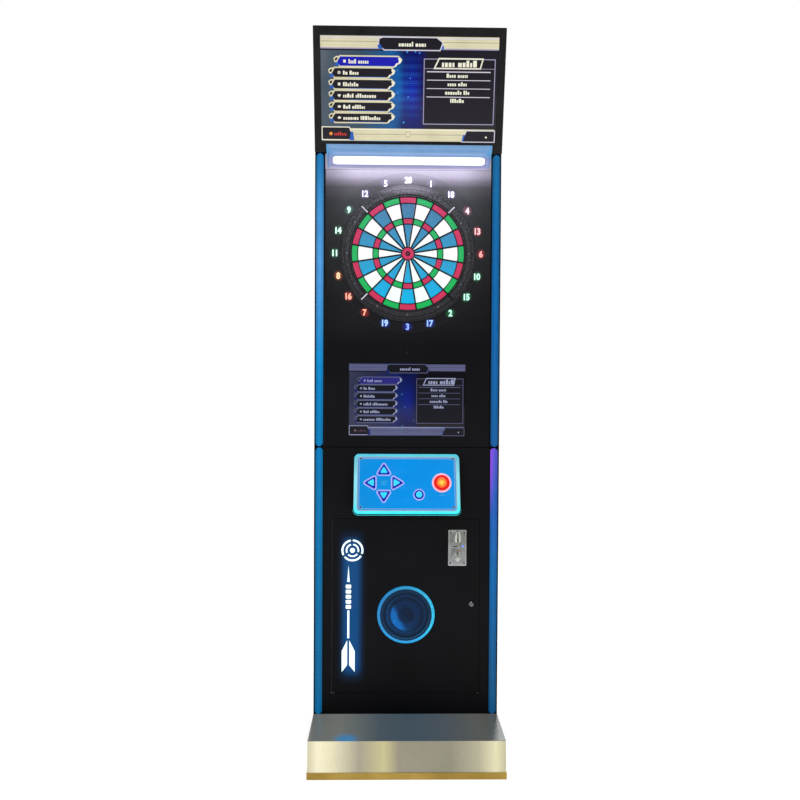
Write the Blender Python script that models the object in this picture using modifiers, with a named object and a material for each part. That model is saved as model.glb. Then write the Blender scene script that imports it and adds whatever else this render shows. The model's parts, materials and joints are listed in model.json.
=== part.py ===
"""Free-standing electronic darts machine, modelled piece by piece.

Metres, +Z up, +X to the player's right, front towards -Y.  The origin is on the floor, under
the centre of the whole machine.  "fwd" is a distance in front of the cabinet's front plane and
"back" a distance behind it.
"""
import math

import bmesh
import bpy
from mathutils import Matrix, Vector

# ---------------------------------------------------------------- driving dimensions
WIDTH = 0.650                   # cabinet
DEPTH = 0.600                   # base front to rear panel
HEIGHT = 2.484
SHEET = 0.002                   # steel sheet
GAP = 0.0003                    # between pieces that touch
REVEAL = 0.0015                 # visible gap round a door

BASE_REACH = 0.228              # base in front of the cabinet
BASE_TOP = 0.1215
BASE_CREASE = 0.214             # fwd of the base's top front edge
BASE_PLATE = 0.004
TRIM_HEIGHT = 0.0225
TRIM_SHEET = 0.0015

CABINET_TOP = 2.0914
SEAM = 1.0670                   # between the upper and lower front panels
COLUMN = 0.034                  # width of the front column beside the panels
STRIP_WIDTH = 0.025
STRIP_CENTRE = 0.3075
STRIP_PROUD = 0.005
GROOVE = 0.008
REAR_INSET = 0.0026             # rear panel behind the edges of the side panels

BULL_HEIGHT = 1.745
RING_EDGES = (0.0225, 0.1030, 0.1230, 0.1755, 0.1975)   # cell boundaries of the target
SECTORS = 20
SPIDER_WALL = 0.0016
INNER_BULL = 0.0088
LATTICE_RADIUS = 0.1995
CATCH_RING = 0.2380
NUMBER_RING = 0.2800
TARGET_DEPTH = 0.0130           # rear of the segments behind the front plane

SCREEN_LOW = (0.408, 0.255)     # 19 inch, 16:10
SCREEN_LOW_CENTRE = 1.2338
SCREEN_LOW_EDGE = 0.012         # screen module beyond its window
SCREEN_HIGH = (0.602, 0.339)    # 16:9, 27.2 inch across
SCREEN_HIGH_EDGE = 0.010
SCREEN_HIGH_RISE = 0.0034       # its centre above the middle of the housing's slope
CAMERA_HEIGHT = 1.4015
CAMERA_RADIUS = 0.0028

HOUSING_LEAN = 0.097            # how far the display leans forward from bottom to top
HOUSING_FOOT = 0.013            # fwd of its bottom front edge
HOUSING_DEPTH = 0.110

DESK_WIDTH = 0.374
DESK_BOTTOM = 0.8400
DESK_TOP = 1.0465
DESK_FWD_BOTTOM = 0.085
DESK_FWD_TOP = 0.010
DESK_CORNER = 0.020

DOOR_LEFT = -0.2590
DOOR_RIGHT = 0.2582
DOOR_BOTTOM = 0.1970
DOOR_TOP = 0.8140
DOOR_FLANGE = 0.018
PIN_RADIUS = 0.0015

SPEAKER = (0.0, 0.4747)
SPEAKER_RADIUS = 0.1015
COIN_PLATE = (0.1800, 0.7125)
COIN_PLATE_SIZE = (0.0645, 0.1270)
LOCK = (0.2305, 0.5121)

WHEEL_RADIUS = 0.025
WHEEL_WIDTH = 0.022
WHEEL_X = 0.290
WHEEL_Y = 0.272
WHEEL_Z = 0.028
AXLE_RADIUS = 0.005
HEEL = 0.055                    # length of the sloping cut behind the wheels
REAR_FOOT = 0.060               # lower edge of the rear panel
SHELF_Z = 0.825

VENT_GROUPS = (0.62, 1.72)      # height of each group's lowest slot
VENT_ROWS = 7
VENT_PITCH = 0.014
VENT_X = 0.110
VENT_SLOT = (0.150, 0.0035)
INLET = (-0.200, 0.130)
INLET_CUT = (0.0285, 0.0205)
THROUGH = 0.050                 # reach of a cutter on each side of a sheet

# ---------------------------------------------------------------- derived places
REAR = DEPTH / 2
FRONT = -REAR + BASE_REACH
HALF = WIDTH / 2
COLUMN_INNER = HALF - COLUMN
PANEL_HALF = COLUMN_INNER - REVEAL
HOUSING_BOTTOM = CABINET_TOP + GAP
UPPER_HINGE_X = -COLUMN_INNER + PIN_RADIUS + GAP
LOWER_HINGE_X = DOOR_LEFT - PIN_RADIUS - GAP
FASCIA_BREAK = 2.0350           # top of the target door
TILT_DESK = math.atan2(DESK_FWD_BOTTOM - DESK_FWD_TOP, DESK_TOP - DESK_BOTTOM)
TILT_DISPLAY = math.atan2(HOUSING_LEAN, HEIGHT - HOUSING_BOTTOM)
DESK_LENGTH = math.hypot(DESK_FWD_BOTTOM - DESK_FWD_TOP, DESK_TOP - DESK_BOTTOM)
DISPLAY_LENGTH = math.hypot(HOUSING_LEAN, HEIGHT - HOUSING_BOTTOM)

PARTS = "electronic_dartboard"
CUTTERS = "cutters"
FACE_FRONT = (math.radians(90), 0, 0)       # local +Z towards the player
FACE_SIDE = (0, math.radians(90), 0)        # local +Z to the player's right


# ---------------------------------------------------------------- helpers
def clear_scene():
    for ob in list(bpy.data.objects):
        bpy.data.objects.remove(ob, do_unlink=True)
    for name in (PARTS, CUTTERS):
        bpy.context.scene.collection.children.link(bpy.data.collections.new(name))


def material(name, colour, roughness=0.5, metallic=0.0, glow=0.0, alpha=1.0):
    mat = bpy.data.materials.new(name)
    mat.use_nodes = True
    shader = mat.node_tree.nodes["Principled BSDF"]
    shader.inputs["Base Color"].default_value = (*colour, 1)
    shader.inputs["Roughness"].default_value = roughness
    shader.inputs["Metallic"].default_value = metallic
    shader.inputs["Alpha"].default_value = alpha
    if glow:
        shader.inputs["Emission Color"].default_value = (*colour, 1)
        shader.inputs["Emission Strength"].default_value = glow
    mat.diffuse_color = (*colour, alpha)
    return mat


def place(ob, mat=None):
    """A part goes in the parts' collection; a cutter has no material and goes in the other."""
    name = PARTS if mat else CUTTERS
    bpy.data.collections[name].objects.link(ob)
    if mat:
        ob.data.materials.append(mat)
    else:
        ob.hide_render = True
        ob.display_type = 'WIRE'
    return ob


def shade(mesh, angle=35):
    mesh.shade_smooth()
    mesh.set_sharp_from_angle(angle=math.radians(angle))


def bevel(ob, width, segments=2, angle=40):
    mod = ob.modifiers.new("edges", 'BEVEL')
    mod.width = width
    mod.segments = segments
    mod.limit_method = 'ANGLE'
    mod.angle_limit = math.radians(angle)
    return ob


def box(name, low, high, mat=None):
    """A box between two world corners."""
    low = Vector(low)
    high = Vector(high)
    bm = bmesh.new()
    bmesh.ops.create_cube(bm, size=1)
    bmesh.ops.scale(bm, vec=high - low, verts=bm.verts)
    mesh = bpy.data.meshes.new(name)
    bm.to_mesh(mesh)
    bm.free()
    ob = bpy.data.objects.new(name, mesh)
    ob.location = (low + high) / 2
    return place(ob, mat)


AXES = {'X': Matrix(((0, 0, 1), (1, 0, 0), (0, 1, 0))),
        'Y': Matrix(((1, 0, 0), (0, 0, -1), (0, 1, 0))),
        'Z': Matrix.Identity(3)}


def prism(name, outlines, near, far, axis, mat=None):
    """Flat outlines extruded along a world axis from near to far; inner outlines are holes.

    Points are (y, z) along X, (x, z) along Y and (x, y) along Z.
    """
    curve = bpy.data.curves.new(name, 'CURVE')
    curve.dimensions = '2D'
    curve.fill_mode = 'BOTH'
    curve.extrude = abs(far - near) / 2
    for points in outlines:
        spline = curve.splines.new('POLY')
        spline.points.add(len(points) - 1)
        for target, point in zip(spline.points, points):
            target.co = (*point, 0, 1)
        spline.use_cyclic_u = True
    outline = bpy.data.objects.new(name + "_outline", curve)
    bpy.context.scene.collection.objects.link(outline)
    outline.matrix_world = AXES[axis].to_4x4()
    outline.location['XYZ'.index(axis)] = (near + far) / 2
    bpy.context.view_layer.update()
    evaluated = outline.evaluated_get(bpy.context.evaluated_depsgraph_get())
    mesh = bpy.data.meshes.new_from_object(evaluated)
    mesh.name = name
    mesh.materials.clear()
    bm = bmesh.new()
    bm.from_mesh(mesh)
    bmesh.ops.remove_doubles(bm, verts=bm.verts, dist=1e-6)
    bmesh.ops.recalc_face_normals(bm, faces=bm.faces)
    bm.to_mesh(mesh)
    bm.free()
    ob = bpy.data.objects.new(name, mesh)
    ob.matrix_world = outline.matrix_world
    bpy.data.objects.remove(outline, do_unlink=True)
    shade(mesh)
    return place(ob, mat)


def turned(name, profile, location, mat=None, steps=48, rotation=FACE_FRONT, ring=False):
    """A (radius, height) profile turned about local Z, outer side from top to bottom."""
    mesh = bpy.data.meshes.new(name)
    count = len(profile)
    edges = [(i, i + 1) for i in range(count - 1)]
    if ring:
        edges.append((count - 1, 0))
    mesh.from_pydata([(r, 0, z) for r, z in profile], edges, [])
    ob = bpy.data.objects.new(name, mesh)
    ob.location = location
    ob.rotation_euler = rotation
    mod = ob.modifiers.new("turn", 'SCREW')
    mod.axis = 'Z'
    mod.steps = steps
    mod.render_steps = steps
    mod.use_merge_vertices = True
    mod.merge_threshold = 0.00001
    mod.use_smooth_shade = True
    return place(ob, mat)


def cut(ob, *cutters):
    for cutter in cutters:
        mod = ob.modifiers.new("cut_" + cutter.name, 'BOOLEAN')
        mod.operation = 'DIFFERENCE'
        mod.object = cutter
    return ob


def fuse(ob, *additions):
    for addition in additions:
        mod = ob.modifiers.new("join_" + addition.name, 'BOOLEAN')
        mod.operation = 'UNION'
        mod.object = addition
    return ob


def empty(name, location, rotation=(0, 0, 0)):
    ob = bpy.data.objects.new(name, None)
    ob.location = location
    ob.rotation_euler = rotation
    ob.empty_display_size = 0.05
    bpy.data.collections[PARTS].objects.link(ob)
    bpy.context.view_layer.update()
    return ob


def attach(parent, *children):
    """Children keep their world places and follow the parent from now on."""
    for child in children:
        child.parent = parent
        child.matrix_parent_inverse = parent.matrix_world.inverted()


def mount(parent, *children):
    """Children take their places in the parent's own frame."""
    for child in children:
        child.parent = parent


def arc(cx, cy, radius, start, end, steps):
    """Points on an arc, angles in degrees."""
    angles = [math.radians(start + (end - start) * i / steps) for i in range(steps + 1)]
    return [(cx + radius * math.cos(a), cy + radius * math.sin(a)) for a in angles]


def circle(cx, cy, radius, count=48):
    return arc(cx, cy, radius, 0, 360, count)[:-1]


def rectangle(left, bottom, right, top, radius=0.0, steps=4):
    if not radius:
        return [(left, bottom), (right, bottom), (right, top), (left, top)]
    return (arc(right - radius, top - radius, radius, 0, 90, steps)
            + arc(left + radius, top - radius, radius, 90, 180, steps)
            + arc(left + radius, bottom + radius, radius, 180, 270, steps)
            + arc(right - radius, bottom + radius, radius, 270, 360, steps))


def centred(cx, cy, width, height, radius=0.0, steps=4):
    return rectangle(cx - width / 2, cy - height / 2, cx + width / 2, cy + height / 2,
                     radius, steps)


def fwd(distance):
    """World Y of a point this far in front of the cabinet's front plane."""
    return FRONT - distance


def back(distance):
    return FRONT + distance


# ---------------------------------------------------------------- cabinet
def side_panel(name, side, steel):
    """Folded side: wall, rear flange, and a front column with the light strip's groove."""
    rear = REAR - FRONT
    flange = rear - REAR_INSET - SHEET - GAP
    groove_out = HALF - STRIP_CENTRE - STRIP_WIDTH / 2 - GAP
    groove_in = groove_out + STRIP_WIDTH + 2 * GAP
    floor = GROOVE + SHEET
    rear_lip = 0.020
    jamb = 0.025
    section = [(rear_lip, flange - SHEET), (rear_lip, flange), (SHEET, flange), (SHEET, rear),
               (0, rear), (0, 0), (groove_out, 0), (groove_out, GROOVE), (groove_in, GROOVE),
               (groove_in, 0), (COLUMN, 0), (COLUMN, jamb), (COLUMN - SHEET, jamb),
               (COLUMN - SHEET, floor), (SHEET, floor), (SHEET, flange - SHEET)]
    points = [(side * (HALF - inward), FRONT + depth) for inward, depth in section]
    return prism(name, [points], BASE_PLATE + GAP, CABINET_TOP - SHEET - GAP, 'Z', steel)


def make_cabinet(steel, dark):
    left = side_panel("side_panel_left", -1, steel)
    right = side_panel("side_panel_right", 1, steel)
    corner = [(REAR - HEEL, 0), (REAR + HEEL, 0), (REAR + HEEL, 2 * HEEL)]
    heel_cut = prism("heel_cut", [corner], -WIDTH, WIDTH, 'X')
    cut(left, heel_cut)
    cut(right, heel_cut)
    box("base_plate", (-HALF, fwd(BASE_REACH - 0.0025), 0),
        (HALF, REAR - HEEL - 0.005, BASE_PLATE), dark)
    box("top_panel", (-HALF, FRONT, CABINET_TOP - SHEET), (HALF, REAR, CABINET_TOP), steel)
    side_clear = HALF - SHEET - GAP
    box("mid_shelf", (-side_clear, back(0.028), SHELF_Z),
        (side_clear, REAR - 0.009, SHELF_Z + SHEET), steel)

    face = REAR - REAR_INSET
    rear = box("rear_panel", (-side_clear, face - SHEET, REAR_FOOT),
               (side_clear, face, CABINET_TOP - SHEET - GAP), steel)
    slots = []
    for lowest in VENT_GROUPS:
        for row in range(VENT_ROWS):
            for x in (-VENT_X, VENT_X):
                slots.append(centred(x, lowest + row * VENT_PITCH, *VENT_SLOT))
    vents = prism("vent_slots", slots, REAR - THROUGH, REAR + THROUGH, 'Y')
    socket = prism("inlet_cut", [centred(*INLET, *INLET_CUT)], REAR - THROUGH,
                   REAR + THROUGH, 'Y')
    cut(rear, vents, socket)


def make_fascias(steel):
    """Fixed front panels; the lower one frames the service door and the desk's window."""
    box("upper_fascia", (-PANEL_HALF, FRONT, FASCIA_BREAK + REVEAL),
        (PANEL_HALF, back(SHEET), CABINET_TOP - SHEET - GAP), steel)
    opening = rectangle(LOWER_HINGE_X - PIN_RADIUS - GAP, DOOR_BOTTOM - REVEAL,
                        DOOR_RIGHT + REVEAL, DOOR_TOP + REVEAL)
    desk_window = centred(0, (DESK_BOTTOM + DESK_TOP) / 2, 0.330, 0.170)
    outer = rectangle(-COLUMN_INNER + GAP, BASE_TOP + GAP, COLUMN_INNER - GAP, SEAM - REVEAL)
    prism("lower_fascia", [outer, opening, desk_window], FRONT, back(SHEET), 'Y', steel)


def make_strips(lens):
    tops = {"upper": (SEAM + 0.003, CABINET_TOP - SHEET - GAP),
            "lower": (BASE_TOP + 0.0025, SEAM - 0.003)}
    for level, (bottom, top) in tops.items():
        for side_name, side in (("left", -1), ("right", 1)):
            x = side * STRIP_CENTRE
            shape = rectangle(x - STRIP_WIDTH / 2, bottom, x + STRIP_WIDTH / 2, top,
                              STRIP_WIDTH / 2 - 0.0001, 6)
            strip = prism(f"led_strip_{level}_{side_name}", [shape],
                          fwd(STRIP_PROUD), back(GROOVE - GAP), 'Y', lens)
            bevel(strip, 0.0045, 3)


def make_base(stainless, brass, dark, rubber):
    """Sheet step in front of the cabinet with its brass skirt, and the two rear wheels."""
    slope_foot = BASE_REACH - TRIM_SHEET - GAP

    def profile(inset, low, rear):
        return [(rear, BASE_TOP - inset), (fwd(BASE_CREASE - inset), BASE_TOP - inset),
                (fwd(slope_foot - inset), low), (rear, low)]

    cover = prism("base_cover", [profile(0, BASE_PLATE + GAP, fwd(GAP))], -HALF, HALF, 'X',
                  stainless)
    hollow = prism("base_hollow", [profile(SHEET, -THROUGH, back(THROUGH))],
                   SHEET - HALF, HALF - SHEET, 'X')
    cut(cover, hollow)

    inner = HALF + GAP
    outer = inner + TRIM_SHEET
    run = fwd(GAP)
    strip = [(-outer, run), (-outer, -REAR), (outer, -REAR), (outer, run),
             (inner, run), (inner, -REAR + TRIM_SHEET), (-inner, -REAR + TRIM_SHEET),
             (-inner, run)]
    prism("base_trim", [strip], 0, TRIM_HEIGHT, 'Z', brass)

    half = WHEEL_WIDTH / 2
    bore = AXLE_RADIUS + GAP
    shoulder = WHEEL_RADIUS - 0.004
    tread = half - 0.003
    section = [(bore, half), (shoulder, half), (WHEEL_RADIUS, tread), (WHEEL_RADIUS, -tread),
               (shoulder, -half), (bore, -half)]
    for name, x in (("wheel_left", -WHEEL_X), ("wheel_right", WHEEL_X)):
        turned(name, section, (x, WHEEL_Y, WHEEL_Z), rubber, 32, FACE_SIDE, ring=True)
    reach = HALF - SHEET - GAP
    turned("wheel_axle", [(0, reach), (AXLE_RADIUS, reach), (AXLE_RADIUS, -reach),
                          (0, -reach)], (0, WHEEL_Y, WHEEL_Z), dark, 24, FACE_SIDE)


# ---------------------------------------------------------------- target door
def cell(inner, outer, sector, clearance):
    """Outline of one scoring cell, kept clear of the lattice on every side."""
    pitch = 360 / SECTORS
    middle = 90 - sector * pitch
    low = inner + clearance
    high = outer - clearance
    low_turn = pitch / 2 - math.degrees(clearance / low)
    high_turn = pitch / 2 - math.degrees(clearance / high)
    return (arc(0, BULL_HEIGHT, high, middle - high_turn, middle + high_turn, 2)
            + arc(0, BULL_HEIGHT, low, middle + low_turn, middle - low_turn, 2))


def make_target(black, segment_colours, catch, clear, board):
    """Lattice, segment rings on their backing plates, bulls, catch ring and sensor board."""
    parts = []
    rings = list(zip(RING_EDGES, RING_EDGES[1:]))
    around = SECTORS * 2
    wall = SPIDER_WALL / 2
    holes = [circle(0, BULL_HEIGHT, RING_EDGES[0] - wall, around)]
    for inner, outer in rings:
        holes += [cell(inner, outer, s, wall) for s in range(SECTORS)]
    rim = circle(0, BULL_HEIGHT, LATTICE_RADIUS, around)
    parts.append(prism("spider", [rim] + holes, fwd(0.0020), back(0.0080), 'Y', black))

    names = ("inner_single_segments", "treble_segments", "outer_single_segments",
             "double_segments")
    backing = (TARGET_DEPTH - 0.0030, TARGET_DEPTH)
    for (inner, outer), name in zip(rings, names):
        plate = prism(name, [circle(0, BULL_HEIGHT, outer - GAP, around),
                             circle(0, BULL_HEIGHT, inner + GAP, around)],
                      back(backing[0]), back(backing[1]), 'Y', segment_colours[name])
        shapes = [cell(inner, outer, s, wall + GAP) for s in range(SECTORS)]
        blocks = prism(name + "_blocks", shapes, FRONT, back(TARGET_DEPTH - 0.0015), 'Y')
        parts.append(fuse(plate, blocks))

    edge = RING_EDGES[0] - wall - GAP
    depth = -TARGET_DEPTH
    outer_bull = [(edge, 0), (edge, -0.009), (RING_EDGES[0] - GAP, -0.010),
                  (RING_EDGES[0] - GAP, depth), (INNER_BULL, depth), (INNER_BULL, 0)]
    place_at = (0, FRONT, BULL_HEIGHT)
    parts.append(turned("outer_bull", outer_bull, place_at, segment_colours["outer_bull"],
                        SECTORS, ring=True))
    core = INNER_BULL - GAP
    parts.append(turned("inner_bull", [(0, 0.0005), (core, 0), (core, depth), (0, depth)],
                        place_at, segment_colours["inner_bull"], 20))

    inside = LATTICE_RADIUS + GAP
    rim = CATCH_RING
    section = [(rim, 0.001), (rim, depth), (inside, depth), (inside, 0.002),
               (inside + 0.004, 0.0055), (inside + 0.014, 0.0080), (rim - 0.012, 0.0070)]
    parts.append(turned("catch_ring", section, place_at, catch, around, ring=True))
    ring = [circle(0, BULL_HEIGHT, NUMBER_RING), circle(0, BULL_HEIGHT, rim + 2 * GAP)]
    parts.append(prism("number_ring", ring, fwd(0.0015), back(0.0020), 'Y', clear))
    side = 2 * NUMBER_RING
    parts.append(prism("sensor_board", [centred(0, BULL_HEIGHT, side, side, 0.03)],
                       back(DOOR_FLANGE + GAP), back(DOOR_FLANGE + 0.0023), 'Y', board))
    return parts


def pan(name, left, bottom, right, top, steel):
    """A door panel: a sheet with a flange folded back on all four sides."""
    door = box(name, (left, FRONT, bottom), (right, back(DOOR_FLANGE), top), steel)
    inner = box(name + "_hollow", (left + SHEET, back(SHEET), bottom + SHEET),
                (right - SHEET, back(2 * DOOR_FLANGE), top - SHEET))
    return cut(door, inner)


def make_target_door(steel, dark, screen, lens):
    """Upper door on its pins, with the lower screen and the camera; returns its hinge too."""
    left = UPPER_HINGE_X + PIN_RADIUS + GAP
    bottom = SEAM + REVEAL / 2
    door = pan("target_door", left, bottom, PANEL_HALF, FASCIA_BREAK, steel)
    holes = [circle(0, BULL_HEIGHT, NUMBER_RING + GAP),
             centred(0, SCREEN_LOW_CENTRE, *SCREEN_LOW, 0.002, 2),
             circle(0, CAMERA_HEIGHT, CAMERA_RADIUS + 0.0004, 16)]
    cut(door, prism("target_door_holes", holes, fwd(THROUGH), back(THROUGH), 'Y'))

    width, height = (side + 2 * SCREEN_LOW_EDGE for side in SCREEN_LOW)
    monitor = prism("lower_screen", [centred(0, SCREEN_LOW_CENTRE, width, height, 0.004, 2)],
                    back(SHEET + GAP), back(0.0180), 'Y', screen)
    lens_profile = [(0, 0.0012), (0.0016, 0.0009), (CAMERA_RADIUS, 0),
                    (CAMERA_RADIUS, -0.005), (0, -0.005)]
    camera = turned("camera_lens", lens_profile, (0, FRONT, CAMERA_HEIGHT), lens, 20)
    axis = (UPPER_HINGE_X, FRONT, (bottom + FASCIA_BREAK) / 2)
    reach = (FASCIA_BREAK - bottom) / 2
    turned("upper_hinge_pin", [(0, reach), (PIN_RADIUS, reach), (PIN_RADIUS, -reach),
                               (0, -reach)], axis, dark, 12, (0, 0, 0))
    return axis, [door, monitor, camera]


# ---------------------------------------------------------------- light hood
def make_hood(blue, tube):
    """Canopy over the target door, open below, and the tube under it."""
    half = 0.278
    reach = 0.120
    top = 2.0885
    lip = 0.0100
    low = FASCIA_BREAK + REVEAL + 0.002
    cheek = [(fwd(GAP), top), (fwd(reach), top), (fwd(reach), top - lip),
             (fwd(0.085), top - 0.034), (fwd(0.035), low + 0.004), (fwd(GAP), low)]
    hood = prism("light_hood", [cheek], -half, half, 'X', blue)
    bevel(hood, 0.0010, 2, 60)
    wall = 0.0025
    inside = box("hood_hollow", (wall - half, fwd(reach - wall), low - THROUGH),
                 (half - wall, fwd(GAP + wall), top - wall))
    cut(hood, inside)
    radius = 0.013
    length = 0.272
    cap = [(0, length), (radius - 0.001, length), (radius, length - 0.001),
           (radius, -length + 0.001), (radius - 0.001, -length), (0, -length)]
    turned("light_tube", cap, (0, fwd(0.060), 2.0510), tube, 24, (0, math.radians(90), 0))


# ---------------------------------------------------------------- display
def make_display(gloss, dark, screen):
    """Leaning housing with the large screen, closed by a rear cover."""
    def front_at(z):
        return HOUSING_FOOT + HOUSING_LEAN * (z - HOUSING_BOTTOM) / (HEIGHT - HOUSING_BOTTOM)

    def slab(near, far, low, high):
        """Leaning slab between two distances behind the front face."""
        return [(fwd(front_at(low) - near), low), (fwd(front_at(high) - near), high),
                (fwd(front_at(high) - far), high), (fwd(front_at(low) - far), low)]

    wall = 0.003
    housing = prism("display_housing", [slab(0, HOUSING_DEPTH, HOUSING_BOTTOM, HEIGHT)],
                    -HALF, HALF, 'X', gloss)
    bevel(housing, 0.0015, 2, 60)
    hollow = prism("display_hollow", [slab(wall, 2 * HOUSING_DEPTH, HOUSING_BOTTOM + wall,
                                           HEIGHT - wall)], -HALF + wall, HALF - wall, 'X')
    cut(housing, hollow)
    tilt = empty("display_frame", (0, fwd(HOUSING_FOOT), HOUSING_BOTTOM),
                 (math.radians(90) + TILT_DISPLAY, 0, 0))
    middle = DISPLAY_LENGTH / 2 + SCREEN_HIGH_RISE
    window = prism("display_window", [centred(0, middle, *SCREEN_HIGH, 0.002, 2)],
                   -THROUGH, THROUGH, 'Z')
    width, height = (side + 2 * SCREEN_HIGH_EDGE for side in SCREEN_HIGH)
    panel = prism("upper_screen", [centred(0, middle, width, height, 0.004, 2)],
                  -0.020, -wall - GAP, 'Z', screen)
    mount(tilt, window, panel)
    cut(housing, window)

    cover_depth = HOUSING_DEPTH - 0.004
    prism("display_rear_cover", [slab(cover_depth, HOUSING_DEPTH - GAP,
                                      HOUSING_BOTTOM + wall + GAP, HEIGHT - wall - GAP)],
          -HALF + wall + GAP, HALF - wall - GAP, 'X', dark)


# ---------------------------------------------------------------- control desk
CLUSTER = (-0.0802, 0.1122)     # middle of the four arrows on the desk, from its lower edge
ARROW_APEX = 0.0655             # outermost point of an arrow, from the cluster's middle
ARROW_BASE = 0.0300
ARROW_HALF = 0.0205
ARROW_ROUNDING = 0.0030
SELECT = (0.0418, 0.0707, 0.0155)
START = (0.1210, 0.1130, 0.0270)
CAP_GAP = 0.0006                # between a cap and the plate's hole
CAP_CROWN = 0.0020              # rise of a round cap's middle
CAP_PROUD = 0.0060
CAP_ROOT = -0.0150
PLATE_FACE = 0.0006


def arrow_outline(turn, grow):
    """Rounded triangle pointing away from the cluster's middle."""
    rounding = ARROW_ROUNDING
    corners = [(ARROW_APEX - rounding, 0), (ARROW_BASE + rounding, ARROW_HALF - rounding),
               (ARROW_BASE + rounding, rounding - ARROW_HALF)]
    points = []
    for index, (along, across) in enumerate(corners):
        start = -60 + 120 * index
        points += arc(along, across, rounding + grow, start, start + 120, 4)
    spin = Matrix.Rotation(turn, 2)
    return [tuple(spin @ Vector(point) + Vector(CLUSTER)) for point in points]


def make_desk(steel, light, plate_paint, cap_paint, start_paint):
    """Wedge with a sloping front: light frame, printed plate, four arrows, two round caps."""
    tilt = empty("desk_frame", (0, fwd(DESK_FWD_BOTTOM), DESK_BOTTOM),
                 (math.radians(90) - TILT_DESK, 0, 0))
    half = DESK_WIDTH / 2
    wall = 0.003
    shell = prism("control_box", [rectangle(-half, DESK_BOTTOM, half, DESK_TOP, DESK_CORNER),
                                  rectangle(-half + wall, DESK_BOTTOM + wall, half - wall,
                                            DESK_TOP - wall, DESK_CORNER - wall)],
                  fwd(0.120), fwd(GAP), 'Y', steel)
    seat = -0.0085
    frame_top = seat + 0.0063
    ledge = 0.0225              # width of the light frame under the plate's edge
    slope = box("desk_slope", (-DESK_WIDTH, -DESK_LENGTH, seat),
                (DESK_WIDTH, 2 * DESK_LENGTH, DESK_LENGTH))
    frame = prism("control_light_frame",
                  [rectangle(-half, 0, half, DESK_LENGTH, DESK_CORNER),
                   rectangle(ledge - half, ledge, half - ledge, DESK_LENGTH - ledge, 0.005, 2)],
                  seat + GAP, frame_top, 'Z', light)
    bevel(frame, 0.0012, 2)
    border = 0.014
    plate_low = frame_top + GAP
    holes = [arrow_outline(math.radians(90 * quarter), CAP_GAP) for quarter in range(4)]
    for x, y, radius in (SELECT, START):
        holes.append(circle(x, y, radius + CAP_GAP, 32))
    outer = rectangle(-half + border, border, half - border, DESK_LENGTH - border, 0.010)
    plate = prism("control_plate", [outer] + holes, plate_low, PLATE_FACE, 'Z', plate_paint)
    mount(tilt, slope, frame, plate)
    cut(shell, slope)

    for quarter, name in enumerate(("button_right", "button_up", "button_left",
                                    "button_down")):
        cap = prism(name, [arrow_outline(math.radians(90 * quarter), 0)], CAP_ROOT,
                    CAP_PROUD, 'Z', cap_paint)
        bevel(cap, 0.0010, 2)
        mount(tilt, cap)
    for name, (x, y, radius), paint in (("select_button", SELECT, cap_paint),
                                        ("start_button", START, start_paint)):
        crown = CAP_PROUD + CAP_CROWN
        profile = [(0, crown), (radius * 0.6, crown - 0.0004), (radius - 0.002, CAP_PROUD),
                   (radius, CAP_PROUD - 0.002), (radius, CAP_ROOT), (0, CAP_ROOT)]
        cap = turned(name, profile, (x, y, 0), paint, 32, (0, 0, 0))
        mount(tilt, cap)


# ---------------------------------------------------------------- service door
def sign_cutouts():
    """A dart flying up to a target, as a stencil; every shape stays joined to the sheet."""
    x = -0.2030
    shapes = []
    tip = [(x, 0.6500), (x - 0.0045, 0.5900), (x + 0.0045, 0.5900)]
    shapes.append(tip)
    for index in range(5):
        low = 0.4950 + index * 0.0180
        shapes.append(centred(x, low + 0.0070, 0.0190, 0.0140, 0.003, 2))
    shapes.append(rectangle(x - 0.0035, 0.3900, x + 0.0035, 0.4900))
    for side in (-1, 1):
        vane = [(x + side * 0.0035, 0.3840), (x + side * 0.0230, 0.3450),
                (x + side * 0.0230, 0.2700), (x + side * 0.0035, 0.2950)]
        shapes.append(vane)
    centre = (-0.1895, 0.7020)
    for start in (100, 220, 340):
        shapes.append(arc(*centre, 0.0390, start, start + 108, 8)
                      + arc(*centre, 0.0320, start + 108, start, 8))
        shapes.append(arc(*centre, 0.0240, start + 4, start + 104, 6)
                      + arc(*centre, 0.0180, start + 104, start + 4, 6))
    shapes.append(circle(*centre, 0.0090, 20))
    return shapes


def key_outline(cx, cz, grow):
    """Arrow-shaped coin-return key pointing down; grow moves every side outwards."""
    stem = 0.0045 + grow
    top = cz + 0.0240 + grow
    shoulder = cz + 0.0030 + grow
    head = 0.0130 + 2.0 * grow
    tip = cz - 0.0140 - 1.65 * grow
    return [(cx - head, shoulder), (cx - stem, shoulder), (cx - stem, top), (cx + stem, top),
            (cx + stem, shoulder), (cx + head, shoulder), (cx, tip)]


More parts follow.
